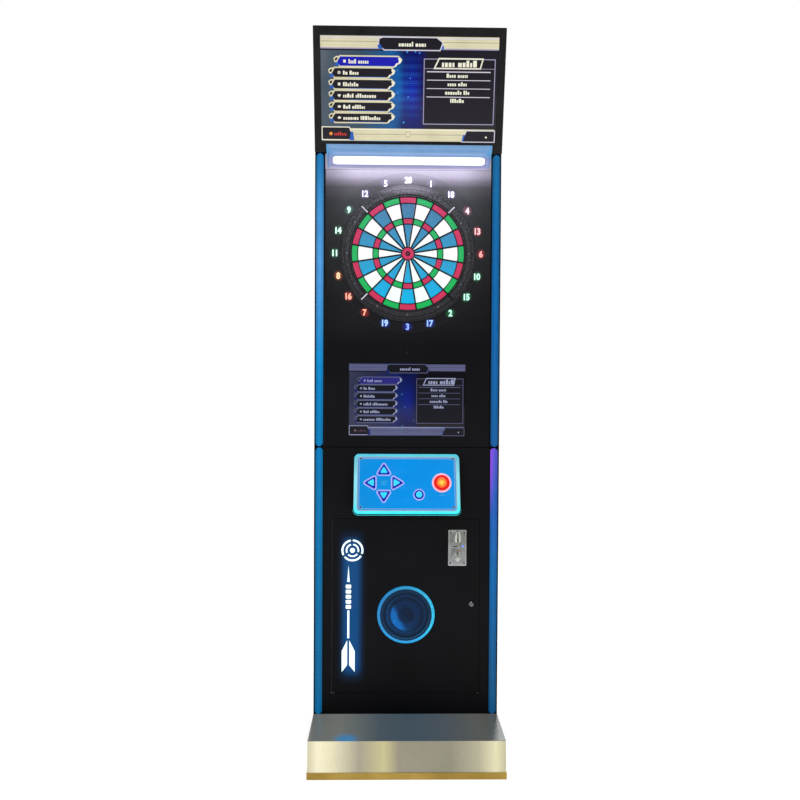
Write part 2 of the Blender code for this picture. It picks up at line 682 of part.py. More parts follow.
def make_service_door(steel, dark, sign, glow, chrome):
    """Lower door with the sign, speaker, coin unit and lock; returns its hinge too."""
    door = pan("service_door", DOOR_LEFT, DOOR_BOTTOM, DOOR_RIGHT, DOOR_TOP, steel)
    holes = [circle(*SPEAKER, 0.0950, 48), centred(*COIN_PLATE, 0.052, 0.110),
             circle(*LOCK, 0.0085, 20)] + sign_cutouts()
    cut(door, prism("service_door_holes", holes, fwd(THROUGH), back(THROUGH), 'Y'))
    lens = prism("sign_lens", [rectangle(-0.2400, 0.2500, -0.1440, 0.7500)],
                 back(SHEET + GAP), back(0.0053), 'Y', sign)

    rim = SPEAKER_RADIUS
    ring = prism("speaker_light_ring", [circle(*SPEAKER, rim, 48),
                                        circle(*SPEAKER, 0.0850, 48)],
                 fwd(0.0043), fwd(GAP), 'Y', glow)
    spot = (SPEAKER[0], FRONT, SPEAKER[1])
    low = 0.0043 + GAP
    grille_profile = [(0, low + 0.0030), (0.040, low + 0.0026), (0.080, low + 0.0018),
                      (rim, low + 0.0012), (rim, low), (0.080, low + 0.0006),
                      (0.040, low + 0.0014), (0, low + 0.0018)]
    grille = turned("speaker_grille", grille_profile, spot, dark, 32)
    top = -SHEET - GAP
    driver_profile = [(0, -0.030), (0.030, -0.034), (0.076, -0.006), (0.090, top - 0.0004),
                      (0.103, top), (0.103, top - 0.005), (0.092, top - 0.006),
                      (0.060, -0.045), (0.060, -0.068), (0, -0.068)]
    driver = turned("speaker_driver", driver_profile, spot, dark, 28)

    width, height = COIN_PLATE_SIZE
    cx, cz = COIN_PLATE
    plate_face = 0.0033
    plate = prism("coin_faceplate", [centred(cx, cz, width, height, 0.004, 3)],
                  fwd(plate_face), fwd(GAP), 'Y', chrome)
    slot_x = cx + 0.0016
    boss_half = 0.0115
    bell = [(slot_x - boss_half, cz + 0.0600)]
    bell += arc(slot_x, cz + 0.0290, boss_half, 180, 360, 8)
    bell += [(slot_x + boss_half, cz + 0.0600)]
    boss = prism("coin_boss", [bell], fwd(0.0075), fwd(0.0020), 'Y')
    coin_slot = prism("coin_slot", [centred(slot_x, cz + 0.0365, 0.0032, 0.0340)],
                      fwd(THROUGH), back(THROUGH), 'Y')
    key_spot = (slot_x - 0.001, cz - 0.0365)
    key_hole = prism("reject_hole", [key_outline(*key_spot, 0.0004)], fwd(THROUGH),
                     back(THROUGH), 'Y')
    fuse(plate, boss)
    cut(plate, coin_slot, key_hole)
    reject = prism("reject_button", [key_outline(*key_spot, 0)], fwd(0.0065), back(0.0020), 'Y',
                   chrome)
    bevel(reject, 0.0006, 1)
    mech = box("coin_mechanism", (cx - 0.025, back(0.007), cz - 0.054),
               (cx + 0.025, back(0.072), cz + 0.054), dark)
    entry = prism("mechanism_entry", [centred(slot_x, cz + 0.0365, 0.0036, 0.0340)],
                  back(0.0), back(0.040), 'Y')
    cut(mech, entry)

    barrel = [(0.0088, 0.0045), (0.0098, 0.0035), (0.0098, GAP), (0.0080, GAP),
              (0.0080, -0.0190), (0.0056, -0.0190), (0.0056, 0.0045)]
    lock_place = (LOCK[0], FRONT, LOCK[1])
    barrel_ob = turned("lock_barrel", barrel, lock_place, chrome, 24, ring=True)
    plug = turned("lock_plug", [(0, 0.0042), (0.0053, 0.0042), (0.0053, -0.0235),
                                (0, -0.0235)], lock_place, chrome, 24)
    cam = prism("lock_cam", [centred(LOCK[0], LOCK[1] - 0.0125, 0.0120, 0.0370, 0.004, 2)],
                back(0.0200), back(0.0225), 'Y')
    keyway = prism("keyway", [centred(LOCK[0], LOCK[1], 0.0016, 0.0072)],
                   fwd(0.01), back(0.010), 'Y')
    fuse(plug, cam)
    cut(plug, keyway)

    reach = (DOOR_TOP - DOOR_BOTTOM) / 2
    axis = (LOWER_HINGE_X, FRONT, (DOOR_TOP + DOOR_BOTTOM) / 2)
    turned("lower_hinge_pin", [(0, reach), (PIN_RADIUS, reach), (PIN_RADIUS, -reach),
                               (0, -reach)], axis, dark, 12, (0, 0, 0))
    return axis, [door, lens, ring, grille, driver, plate, reject, mech, barrel_ob, plug]


# ---------------------------------------------------------------- inside the cabinet
def make_contents(tin, dark, grey):
    """Coin box, power supply, computer on the shelf and the mains inlet in the rear panel."""
    low = (0.085, back(0.090), BASE_PLATE + GAP)
    high = (0.265, back(0.290), 0.170)
    coin_box = box("coin_box", low, high, tin)
    wall = 0.0015
    hollow = box("coin_box_hollow", [c + wall for c in low],
                 (high[0] - wall, high[1] - wall, high[2] + wall))
    cut(coin_box, hollow)
    box("power_supply", (-0.250, back(0.180), BASE_PLATE + GAP), (-0.080, back(0.290), 0.060),
        grey)
    box("computer", (-0.140, back(0.120), SHELF_Z + SHEET + GAP), (0.140, back(0.330), 0.900),
        dark)
    face = REAR - REAR_INSET
    inlet = prism("power_inlet", [centred(*INLET, 0.0480, 0.0280, 0.004, 3)], face + GAP,
                  face + 0.0023, 'Y', dark)
    width, height = (side - 0.0010 for side in INLET_CUT)
    body = prism("inlet_body", [centred(*INLET, width, height)], face - 0.024,
                 face + 0.001, 'Y')
    socket = prism("inlet_socket", [centred(*INLET, 0.0240, 0.0160, 0.002, 2)],
                   face - 0.017, face + THROUGH, 'Y')
    cut(fuse(inlet, body), socket)


# ---------------------------------------------------------------- assembly
def build():
    clear_scene()
    steel = material("black_textured_steel", (0.012, 0.012, 0.014), 0.55)
    dark = material("black_plastic", (0.015, 0.015, 0.018), 0.5)
    gloss = material("gloss_black", (0.01, 0.01, 0.012), 0.15)
    tin = material("zinc_plate", (0.60, 0.60, 0.60), 0.4, 0.9)
    grey = material("grey_case", (0.45, 0.46, 0.48), 0.5, 0.6)
    chrome = material("brushed_zinc", (0.55, 0.57, 0.60), 0.3, 1.0)
    stainless = material("brushed_stainless", (0.62, 0.60, 0.57), 0.32, 1.0)
    brass = material("brass", (0.55, 0.38, 0.12), 0.35, 1.0)
    rubber = material("black_rubber", (0.02, 0.02, 0.02), 0.8)
    strip = material("blue_light_pipe", (0.0, 0.28, 0.60), 0.3, 0.0, 0.8)
    hood = material("blue_enamel", (0.10, 0.30, 0.62), 0.4)
    tube = material("lit_tube", (1.0, 1.0, 1.0), 0.4, 0.0, 6.0)
    screen = material("screen_glass", (0.01, 0.02, 0.06), 0.1, 0.0, 0.3)
    lens = material("camera_glass", (0.01, 0.01, 0.02), 0.05)
    blue = material("segment_blue", (0.03, 0.28, 0.55), 0.5)
    pink = material("segment_pink", (0.62, 0.05, 0.14), 0.5)
    white = material("segment_white", (0.85, 0.90, 0.88), 0.5)
    green = material("segment_green", (0.02, 0.48, 0.14), 0.5)
    clear = material("smoked_acrylic", (0.02, 0.02, 0.025), 0.1)
    board = material("circuit_board", (0.02, 0.20, 0.08), 0.5)
    light = material("cyan_edge_light", (0.05, 0.85, 1.0), 0.3, 0.0, 2.0)
    plate = material("blue_print", (0.0, 0.27, 0.80), 0.3)
    cap = material("cyan_cap", (0.05, 0.60, 1.0), 0.2, 0.0, 0.6)
    start = material("red_cap", (0.80, 0.03, 0.02), 0.2, 0.0, 1.0)
    sign = material("white_sign_lens", (0.75, 0.95, 1.0), 0.4, 0.0, 2.0)

    make_cabinet(steel, dark)
    make_fascias(steel)
    make_strips(strip)
    make_base(stainless, brass, dark, rubber)
    make_hood(hood, tube)
    make_display(gloss, dark, screen)
    make_desk(steel, light, plate, cap, start)
    make_contents(tin, dark, grey)

    segments = {"inner_single_segments": white, "treble_segments": green,
                "outer_single_segments": blue, "double_segments": pink,
                "outer_bull": pink, "inner_bull": dark}
    axis, door_parts = make_target_door(steel, dark, screen, lens)
    door_parts += make_target(dark, segments, dark, clear, board)
    attach(empty("target_door_hinge", axis), *door_parts)
    axis, door_parts = make_service_door(steel, dark, sign, light, chrome)
    attach(empty("service_door_hinge", axis), *door_parts)


build()
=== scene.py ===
"""Looks of the free-standing electronic darts machine.

Metres, +Z up, +X to the player's right, the front towards -Y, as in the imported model.  Each piece
is a mesh of closed shells at its real place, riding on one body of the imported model.
"""

import functools
import json
import math
import random

import bmesh
import bpy
from mathutils import Matrix, Vector


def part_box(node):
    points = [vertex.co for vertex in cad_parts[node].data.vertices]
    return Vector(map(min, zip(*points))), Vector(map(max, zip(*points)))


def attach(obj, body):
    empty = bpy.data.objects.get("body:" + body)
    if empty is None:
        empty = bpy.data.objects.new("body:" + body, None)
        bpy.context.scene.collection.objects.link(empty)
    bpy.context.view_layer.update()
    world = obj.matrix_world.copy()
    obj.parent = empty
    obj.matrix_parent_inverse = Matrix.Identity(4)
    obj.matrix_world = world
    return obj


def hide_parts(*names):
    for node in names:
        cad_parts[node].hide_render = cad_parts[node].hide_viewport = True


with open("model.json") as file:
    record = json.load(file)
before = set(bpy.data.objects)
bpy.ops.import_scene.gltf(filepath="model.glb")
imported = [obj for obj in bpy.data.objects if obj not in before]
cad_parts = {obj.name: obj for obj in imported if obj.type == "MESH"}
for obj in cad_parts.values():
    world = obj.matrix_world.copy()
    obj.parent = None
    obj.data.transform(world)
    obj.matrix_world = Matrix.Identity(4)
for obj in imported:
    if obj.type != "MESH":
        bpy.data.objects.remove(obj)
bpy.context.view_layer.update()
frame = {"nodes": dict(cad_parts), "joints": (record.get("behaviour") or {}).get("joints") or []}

# ------------------------------------------------------------------ places, from the frame
NODES = frame["nodes"]
JOINTS = {joint["name"]: joint for joint in frame["joints"]}
QUARTER = math.radians(90)
HOUSING_DEPTH = 0.110           # front to back of the display housing, level


def middle(node):
    low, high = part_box(node)
    return (low + high) / 2


def about(axis, degrees):
    """A turn about an axis."""
    return Matrix.Rotation(math.radians(degrees), 4, axis)


def at(x, y, z=0.0, turn=0.0):
    """A shift, with a turn about Z in degrees before it."""
    return Matrix.Translation((x, y, z)) @ about('Z', turn)


PANEL_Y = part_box("lower_fascia")[0].y           # the cabinet's front plane
FLOOR_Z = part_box("base_trim")[0].z


def facing_player(x, z):
    """A flat frame on the cabinet's front, with its normal towards the player."""
    return at(x, PANEL_Y, z) @ about('X', 90)


def facing_rear(y, z=0.0):
    """A flat frame with its normal away from the player."""
    return at(0, y, z) @ about('Z', 180) @ about('X', 90)


FRONTAL = facing_player(0, 0)

PRESS_AXIS = JOINTS["start_press"]["axis"]
DESK_LOW, DESK_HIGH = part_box("control_box")
DESK = (at(0, DESK_LOW.y, DESK_LOW.z)
        @ Matrix.Rotation(math.atan2(PRESS_AXIS[1], -PRESS_AXIS[2]), 4, 'X'))

HOUSING_LOW, HOUSING_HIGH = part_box("display_housing")
HOUSING_FOOT = HOUSING_HIGH.y - HOUSING_DEPTH   # world Y of the housing's lower front edge
DISPLAY_TILT = math.atan2(HOUSING_FOOT - HOUSING_LOW.y, HOUSING_HIGH.z - HOUSING_LOW.z)
DISPLAY = (at(0, HOUSING_FOOT, HOUSING_LOW.z)
           @ Matrix.Rotation(QUARTER + DISPLAY_TILT, 4, 'X'))
DISPLAY_LENGTH = (HOUSING_HIGH.z - HOUSING_LOW.z) / math.cos(DISPLAY_TILT)

BULL = middle("catch_ring")
BULL.y = PANEL_Y
TARGET = facing_player(BULL.x, BULL.z)


def radius_of(node):
    """Outer radius of a round node that faces the player."""
    low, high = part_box(node)
    return (high.x - low.x) / 2


# ------------------------------------------------------------------ colours and materials
def rgb(red, green, blue):
    """Linear colour from a screen colour of 0 to 255."""
    def linear(value):
        value /= 255
        return value / 12.92 if value <= 0.04045 else ((value + 0.055) / 1.055) ** 2.4
    return (linear(red), linear(green), linear(blue), 1.0)


BLACK = (0.0, 0.0, 0.0, 1.0)
WHITE = (1.0, 1.0, 1.0, 1.0)


class Look:
    """A procedural material: a Principled shader and short calls for the nodes that feed it."""

    def __init__(self, name, **finish):
        self.material = bpy.data.materials.new(name)
        self.material.use_nodes = True
        self.tree = self.material.node_tree
        self.shader = self.tree.nodes["Principled BSDF"]
        self.set(**finish)

    def set(self, **finish):
        """Sockets of the shader by name, with _ for a space; each takes a value or a node."""
        for name, value in finish.items():
            self.put(self.shader.inputs[name.replace("_", " ").title()
                                        .replace("Ior", "IOR")], value)

    def put(self, socket, value):
        if isinstance(value, bpy.types.NodeSocket):
            self.tree.links.new(value, socket)
        else:
            socket.default_value = value

    def node(self, kind, inputs=(), **settings):
        node = self.tree.nodes.new("ShaderNode" + kind)
        for name, value in settings.items():
            setattr(node, name, value)
        for socket, value in zip(node.inputs, inputs):
            if value is not None:
                self.put(socket, value)
        return node

    def place(self):
        """Rest place of a point, in metres."""
        return self.node("TexCoord").outputs["Object"]

    def along(self, axis):
        split = self.node("SeparateXYZ", [self.place()])
        return split.outputs["XYZ".index(axis)]

    def stretched(self, x, y, z):
        """Rest place scaled along each axis."""
        mapping = self.node("Mapping", [self.place()])
        mapping.inputs["Scale"].default_value = (x, y, z)
        return mapping.outputs[0]

    def noise(self, scale, detail=2.0, vector=None):
        node = self.node("TexNoise")
        self.put(node.inputs["Vector"], vector or self.place())
        node.inputs["Scale"].default_value = scale
        node.inputs["Detail"].default_value = detail
        return node.outputs[0]

    def cells(self, scale, vector=None, randomness=1.0, output="Distance"):
        node = self.node("TexVoronoi")
        self.put(node.inputs["Vector"], vector or self.place())
        node.inputs["Scale"].default_value = scale
        node.inputs["Randomness"].default_value = randomness
        return node.outputs[output]

    def ramp(self, factor, *stops, interpolation='LINEAR'):
        node = self.node("ValToRGB", [factor])
        ramp = node.color_ramp
        ramp.interpolation = interpolation
        while len(ramp.elements) < len(stops):
            ramp.elements.new(1.0)
        for element, (position, colour) in zip(ramp.elements, stops):
            element.position = position
            element.color = colour
        return node.outputs[0]

    def tones(self, factor, *stops):
        """A ramp whose stops are a position and a screen colour."""
        return self.ramp(factor, *[(stop[0], rgb(*stop[1:])) for stop in stops])

    def calc(self, operation, first, second=0.0):
        return self.node("Math", [first, second], operation=operation).outputs[0]

    def times(self, *factors):
        """The product of two or more values."""
        return functools.reduce(functools.partial(self.calc, 'MULTIPLY'), factors)

    def off(self, axis, middle):
        """Signed distance along an axis from a plane across it."""
        return self.calc('SUBTRACT', self.along(axis), middle)

    def hypotenuse(self, one, other):
        squares = self.calc('ADD', self.times(one, one), self.times(other, other))
        return self.calc('SQRT', squares)

    def turn_of(self, rise, run):
        """The angle whose tangent is rise over run, as a fraction of a turn."""
        turn = self.calc('DIVIDE', self.calc('ARCTAN2', rise, run), math.tau)
        return self.calc('FRACT', self.calc('ADD', turn, 1.0))

    def wave(self, value, pitch):
        return self.calc('SINE', self.times(value, math.tau / pitch))

    def remap(self, value, low, high, to_low=0.0, to_high=1.0, smooth=False):
        kind = 'SMOOTHSTEP' if smooth else 'LINEAR'
        return self.node("MapRange", [value, low, high, to_low, to_high],
                         interpolation_type=kind).outputs[0]

    def mix(self, factor, first, second, blend='MIX'):
        node = self.node("Mix", data_type='RGBA', blend_type=blend)
        self.put(node.inputs[0], factor)
        self.put(node.inputs[6], first)
        self.put(node.inputs[7], second)
        return node.outputs[2]

    def scaled(self, colour, factor):
        """A colour times a grey value."""
        return self.mix(1.0, colour, self.node("CombineColor", [factor] * 3).outputs[0],
                        'MULTIPLY')

    def bump(self, height, distance, strength=1.0):
        node = self.node("Bump")
        self.put(node.inputs["Height"], height)
        node.inputs["Distance"].default_value = distance
        node.inputs["Strength"].default_value = strength
        self.put(self.shader.inputs["Normal"], node.outputs[0])
        return self

    def glow(self, colour, strength=1.0):
        self.put(self.shader.inputs["Emission Color"], colour)
        self.shader.inputs["Emission Strength"].default_value = strength
        return self


def dress(look, *nodes):
    """A CAD node keeps its shape and takes this material."""
    for name in nodes:
        ob = NODES[name]
        if not ob.material_slots:
            ob.data.materials.append(look.material)
        for slot in ob.material_slots:
            slot.material = look.material


def coated(name, dark, light, roughness=0.5, grain=1100, depth=0.00012, specular=0.2):
    """Paint or moulded plastic with an orange-peel grain and slightly uneven colour."""
    look = Look(name, specular_ior_level=specular)
    peel = look.noise(grain, 3)
    cloud = look.noise(7, 4)
    look.set(base_color=look.tones(cloud, (0.30, *dark), (0.70, *light)),
             roughness=look.remap(peel, 0.3, 0.7, roughness - 0.08, roughness + 0.08))
    return look.bump(peel, depth)


def brushed(name, colour, edge, direction, roughness=0.30, fine=1800):
    """Metal with fine brush lines along one axis and a faint stain pattern."""
    look = Look(name, metallic=1.0)
    scale = [fine if axis != direction else fine / 60 for axis in "XYZ"]
    lines = look.noise(1.0, 3, look.stretched(*scale))
    cloud = look.noise(9, 4)
    tint = look.mix(look.remap(cloud, 0.35, 0.65), rgb(*colour), rgb(*edge))
    look.set(base_color=look.scaled(tint, look.remap(lines, 0.3, 0.7, 0.86, 1.08)),
             roughness=look.remap(lines, 0.3, 0.7, roughness - 0.06, roughness + 0.08))
    return look.bump(lines, 0.00004)


def lit(name, colour, strength=1.0, variation=0.10, scale=60):
    """Lit plastic, or painted light on a part that is no lamp: its light varies a little by place.
    """
    look = Look(name, roughness=0.35, specular_ior_level=0.3)
    patch = look.noise(scale, 2)
    shown = look.scaled(colour, look.remap(patch, 0.3, 0.7, 1 - variation, 1 + variation))
    look.set(base_color=look.scaled(colour, look.remap(patch, 0.3, 0.7, 0.3, 0.4)))
    look.bump(look.noise(900, 2), 0.00003)
    return look.glow(shown, strength)


# ------------------------------------------------------------------ shells
def inset(points, distance):
    """A polygon whose sides have moved inwards; the points run anticlockwise."""
    lines = []
    for start, end in zip(points, points[1:] + points[:1]):
        along = (Vector(end) - Vector(start)).normalized()
        inward = Vector((-along.y, along.x))
        lines.append((Vector(start) + inward * distance, along))
    moved = []
    for (base, along), (other, turn) in zip(lines[-1:] + lines[:-1], lines):
        cross = along.x * turn.y - along.y * turn.x
        if abs(cross) < 1e-6:
            moved.append(tuple(other))
            continue
        gap = other - base
        moved.append(tuple(base + along * ((gap.x * turn.y - gap.y * turn.x) / cross)))
    return moved


def arc(cx, cy, radius, start, end, steps):
    """Points on an arc, angles in degrees."""
    angles = [math.radians(start + (end - start) * i / steps) for i in range(steps + 1)]
    return [(cx + radius * math.cos(a), cy + radius * math.sin(a)) for a in angles]


def circle(cx, cy, radius, count=32):
    return arc(cx, cy, radius, 0, 360, count)[:-1]


def rectangle(left, bottom, right, top, radius=0.0, steps=5):
    if not radius:
        return [(left, bottom), (right, bottom), (right, top), (left, top)]
    return (arc(right - radius, top - radius, radius, 0, 90, steps)
            + arc(left + radius, top - radius, radius, 90, 180, steps)
            + arc(left + radius, bottom + radius, radius, 180, 270, steps)
            + arc(right - radius, bottom + radius, radius, 270, 360, steps))


def centred(cx, cy, width, height, radius=0.0, steps=5):
    return rectangle(cx - width / 2, cy - height / 2, cx + width / 2, cy + height / 2,
                     radius, steps)


def shell_of(curve):
    """The closed, welded mesh of a curve or text datablock."""
    holder = bpy.data.objects.new("outline", curve)
    mesh = bpy.data.meshes.new_from_object(holder)
    bm = bmesh.new()
    bm.from_mesh(mesh)
    bpy.data.meshes.remove(mesh)
    bpy.data.objects.remove(holder)
    bpy.data.curves.remove(curve)
    bmesh.ops.remove_doubles(bm, verts=bm.verts, dist=2e-6)
    bmesh.ops.recalc_face_normals(bm, faces=bm.faces)
    return bm


def flat(outlines, low, high, rounding=0.0):
    """Outlines extruded along local Z with rounded edges; inner outlines are holes."""
    curve = bpy.data.curves.new("outline", 'CURVE')
    curve.dimensions = '2D'
    curve.fill_mode = 'BOTH'
    curve.extrude = (high - low) / 2 - rounding
    if rounding:
        curve.bevel_depth = rounding
        curve.bevel_resolution = 1
        curve.offset = -rounding
    for points in outlines:
        spline = curve.splines.new('POLY')
        spline.points.add(len(points) - 1)
        for target, (x, y) in zip(spline.points, points):
            target.co = (x, y, 0, 1)
        spline.use_cyclic_u = True
    bm = shell_of(curve)
    bmesh.ops.translate(bm, verts=bm.verts, vec=(0, 0, (low + high) / 2))
    return bm


def pad(x, y, width, height, low, high, radius=0.0, rounding=0.0):
    """A flat block with round corners, centred on a place."""
    return flat([centred(x, y, width, height, radius)], low, high, rounding)


def wire(points, radius, resolution=2):
    """A round bar along points, with closed ends."""
    curve = bpy.data.curves.new("wire", 'CURVE')
    curve.dimensions = '3D'
    curve.bevel_depth = radius
    curve.bevel_resolution = resolution
    curve.use_fill_caps = True
    spline = curve.splines.new('POLY')
    spline.points.add(len(points) - 1)
    for target, point in zip(spline.points, points):
        target.co = (*point, 1)
    return shell_of(curve)


def digits(text, height, low, high):
    """Condensed bold digits, standing on the local XY plane and centred on its origin."""
    curve = bpy.data.curves.new("digits", 'FONT')
    curve.body = text
    curve.align_x = 'CENTER'
    curve.align_y = 'CENTER'
    curve.size = height / 0.73              # digits are this share of the font's size
    curve.space_character = 0.95
    curve.resolution_u = 3
    curve.extrude = (high - low) / 2
    curve.offset = height * 0.062
    bm = shell_of(curve)
    xs = [v.co.x for v in bm.verts]
    ys = [v.co.y for v in bm.verts]
    centre = ((min(xs) + max(xs)) / 2, (min(ys) + max(ys)) / 2)
    bmesh.ops.translate(bm, verts=bm.verts, vec=(-centre[0], -centre[1], (low + high) / 2))
    bmesh.ops.scale(bm, verts=bm.verts, vec=(0.88, 1, 1))
    return bm


def turned(profile, steps=48, ring=False):
    """A (radius, height) profile turned about local Z; a ring's profile is a closed loop."""
    bm = bmesh.new()
    verts = [bm.verts.new((radius, 0, height)) for radius, height in profile]
    pairs = list(zip(verts, verts[1:]))
    if ring:
        pairs.append((verts[-1], verts[0]))
    edges = [bm.edges.new(pair) for pair in pairs]
    bmesh.ops.spin(bm, geom=verts + edges, cent=(0, 0, 0), axis=(0, 0, 1),
                   angle=math.tau, steps=steps, use_merge=True)
    bmesh.ops.remove_doubles(bm, verts=bm.verts, dist=2e-6)
    bmesh.ops.recalc_face_normals(bm, faces=bm.faces)
    return bm


def block(low, high, rounding=0.0):
    """A box between two corners, with rounded edges."""
    low = Vector(low)
    high = Vector(high)
    bm = bmesh.new()
    bmesh.ops.create_cube(bm, size=1)
    bmesh.ops.scale(bm, vec=high - low, verts=bm.verts)
    bmesh.ops.translate(bm, vec=(low + high) / 2, verts=bm.verts)
    if rounding:
        bmesh.ops.bevel(bm, geom=bm.edges[:], offset=rounding, segments=2, profile=0.5,
                        affect='EDGES')
    return bm


class Piece:
    """Closed shells, each with its own material, gathered into one mesh on one body."""

    def __init__(self, name, body, slot, replaces=()):
        self.name = name
        self.body = body
        self.slot = slot
        self.replaced = replaces
        self.looks = []
        self.bm = bmesh.new()

    def add(self, part, look, place=Matrix.Identity(4)):
        if look not in self.looks:
            self.looks.append(look)
        index = self.looks.index(look)
        for face in part.faces:
            face.material_index = index
        bmesh.ops.transform(part, matrix=place, verts=part.verts)
        mesh = bpy.data.meshes.new("shell")
        part.to_mesh(mesh)
        part.free()
        self.bm.from_mesh(mesh)
        bpy.data.meshes.remove(mesh)
        return self

    def finish(self, sharp=35):
        mesh = bpy.data.meshes.new(self.name)
        self.bm.to_mesh(mesh)
        self.bm.free()
        for look in self.looks:
            mesh.materials.append(look.material)
        mesh.shade_smooth()
        mesh.set_sharp_from_angle(angle=math.radians(sharp))
        ob = bpy.data.objects.new(self.name, mesh)
        bpy.context.scene.collection.objects.link(ob)
        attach(ob, self.body)
        if self.replaced:
            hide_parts(*self.replaced)
        return ob


def add_screw(piece, look, place, radius=0.0030, height=0.0014):
    """A low round head with a cross recess."""
    arm = radius * 0.62
    half = radius * 0.16
    cross = [(half, half), (half, arm), (-half, arm), (-half, half), (-arm, half),
             (-arm, -half), (-half, -half), (-half, -arm), (half, -arm), (half, -half),
             (arm, -half), (arm, half)]
    piece.add(flat([circle(0, 0, radius, 20), cross], height * 0.45, height,
                   radius * 0.08), look, place)
    piece.add(turned([(0, height * 0.44), (radius * 0.98, height * 0.44), (radius, 0),
                      (0, 0)], 20), look, place)


def corner_screws(piece, look, place, reach, radius, height=0.0014, turn=0.0):
    """Four screws, at the reach across and up from a place."""
    for x in (-1, 1):
        for y in (-1, 1):
            spot = at(x * reach[0], y * reach[1], 0.0, turn * x)
            add_screw(piece, look, place @ spot, radius, height)


# ------------------------------------------------------------------ the metals and plastics
COAT_DARK = rgb(9, 9, 12)
COAT_LIGHT = rgb(16, 16, 20)


def tube_light(look, grain, gain=1.0):
    """Light that the tube throws down the panel: strong under the hood, gone at mid height."""
    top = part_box("target_door")[1].z
    reach = 0.62
    height = look.remap(look.along('Z'), top - reach, top)
    fall = look.ramp(height, (0.0, BLACK), (0.28, (0.010, 0.010, 0.012, 1)),
                     (0.66, (0.040, 0.043, 0.046, 1)), (0.823, (0.066, 0.070, 0.080, 1)),
                     (0.905, (0.14, 0.135, 0.160, 1)), (0.940, (0.36, 0.32, 0.43, 1)),
                     (0.962, (0.60, 0.54, 0.73, 1)), (1.0, (0.80, 0.73, 0.96, 1)))
    side = look.calc('ABSOLUTE', look.along('X'))
    ends = look.remap(side, 0.17, 0.30, 1.0, 0.45, smooth=True)
    mottle = look.remap(grain, 0.3, 0.7, 0.72, 1.28)
    return look.scaled(fall, look.times(ends, mottle, gain))


def panel_coat(name, lights=None):
    """Textured black powder coat of the cabinet; lights adds what shines on it."""
    look = Look(name, specular_ior_level=0.10)
    peel = look.noise(850, 3)
    cloud = look.noise(5, 4)
    look.set(base_color=look.ramp(cloud, (0.30, COAT_DARK), (0.70, COAT_LIGHT)),
             roughness=look.remap(peel, 0.3, 0.7, 0.42, 0.60))
    look.bump(peel, 0.00014)
    if lights:
        look.glow(lights(look, peel))
    return look


def sign_light(look, grain):
    """Blue light round the sign's cut-outs, brightest at the letters' height."""
    low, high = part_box("sign_lens")
    off = look.calc('ABSOLUTE', look.off('X', (low.x + high.x) / 2))
    side = look.remap(off, 0.012, 0.056, 1.0, 0.0, smooth=True)
    z = look.along('Z')
    rise = look.remap(z, low.z - 0.03, low.z + 0.05, 0.0, 1.0, smooth=True)
    drop = look.remap(z, high.z - 0.04, high.z + 0.035, 1.0, 0.0, smooth=True)
    mottle = look.remap(grain, 0.3, 0.7, 0.85, 1.15)
    power = look.times(side, look.times(rise, drop), mottle)
    return look.ramp(power, (0.0, BLACK), (0.35, rgb(3, 24, 48)), (1.0, rgb(8, 74, 130)))


def dress_cabinet():
    coat = panel_coat("cabinet_coat")
    dress(coat, "side_panel_left", "side_panel_right", "top_panel", "mid_shelf",
          "lower_fascia", "rear_panel", "control_box")
    dress(panel_coat("upper_fascia_coat", tube_light), "upper_fascia")
    dress(panel_coat("target_door_coat", tube_light), "target_door")
    dress(panel_coat("service_door_coat", sign_light), "service_door")
    dress(coated("base_steel", (30, 30, 33), (44, 44, 48), 0.5), "base_plate")


# ------------------------------------------------------------------ screens
LCD_PITCH = 1 / 0.0024          # visible rows of the screens, per metre


def ink(name, colour, strength=1.0):
    """One colour of a lit screen, with the screen's fine grid and a slight unevenness."""
    look = Look(name, roughness=0.22, specular_ior_level=0.35)
    grid = look.cells(LCD_PITCH, randomness=0.0)
    patch = look.noise(14, 2)
    light = look.times(look.remap(grid, 0.2, 0.7, 1.04, 0.86),
                       look.remap(patch, 0.3, 0.7, 0.93, 1.07))
    look.set(base_color=look.scaled(colour, 0.05))
    return look.glow(look.scaled(colour, light), strength)


BACKDROP_STOPS = (0.0, 0.22, 0.38, 0.445, 0.475, 0.52, 0.57, 0.60, 1.0)


def screen_backdrop(name, node_box, tones, sparkle):
    """Dark right part, a deep blue star field in the middle and a grey-teal left part."""
    low, high = node_box
    look = Look(name, roughness=0.16, specular_ior_level=0.3)
    across = look.remap(look.along('X'), low.x, high.x)
    down = look.remap(look.along('Z'), high.z, low.z)
    base = look.ramp(across, *zip(BACKDROP_STOPS, tones))
    band = look.ramp(across, (0.40, BLACK), (0.46, WHITE), (0.53, WHITE), (0.59, BLACK))
    deep = look.ramp(down, (0.10, rgb(96, 96, 108)), (0.34, rgb(196, 196, 206)),
                     (0.52, WHITE), (0.68, rgb(196, 196, 206)), (0.90, rgb(112, 112, 124)))
    shown = look.mix(band, base, look.mix(1.0, base, deep, 'MULTIPLY'))
    dots = look.cells(1 / 0.0062, randomness=0.0)
    halftone = look.remap(dots, 0.18, 0.42, 1.0, 0.0)
    middle_rows = look.ramp(down, (0.18, BLACK), (0.36, WHITE), (0.60, WHITE), (0.80, BLACK))
    field = look.mix(1.0, band, middle_rows, 'MULTIPLY')
    shown = look.mix(look.times(halftone, 0.34 * sparkle), shown,
                     look.mix(1.0, field, rgb(60, 150, 235), 'MULTIPLY'), 'ADD')
    star = look.remap(look.cells(40), 0.06, 0.17, 1.0, 0.0)
    shown = look.mix(look.times(star, sparkle), shown,
                     look.mix(1.0, band, rgb(80, 170, 255), 'MULTIPLY'), 'ADD')
    look.set(base_color=look.scaled(shown, 0.05))
    return look.glow(shown)


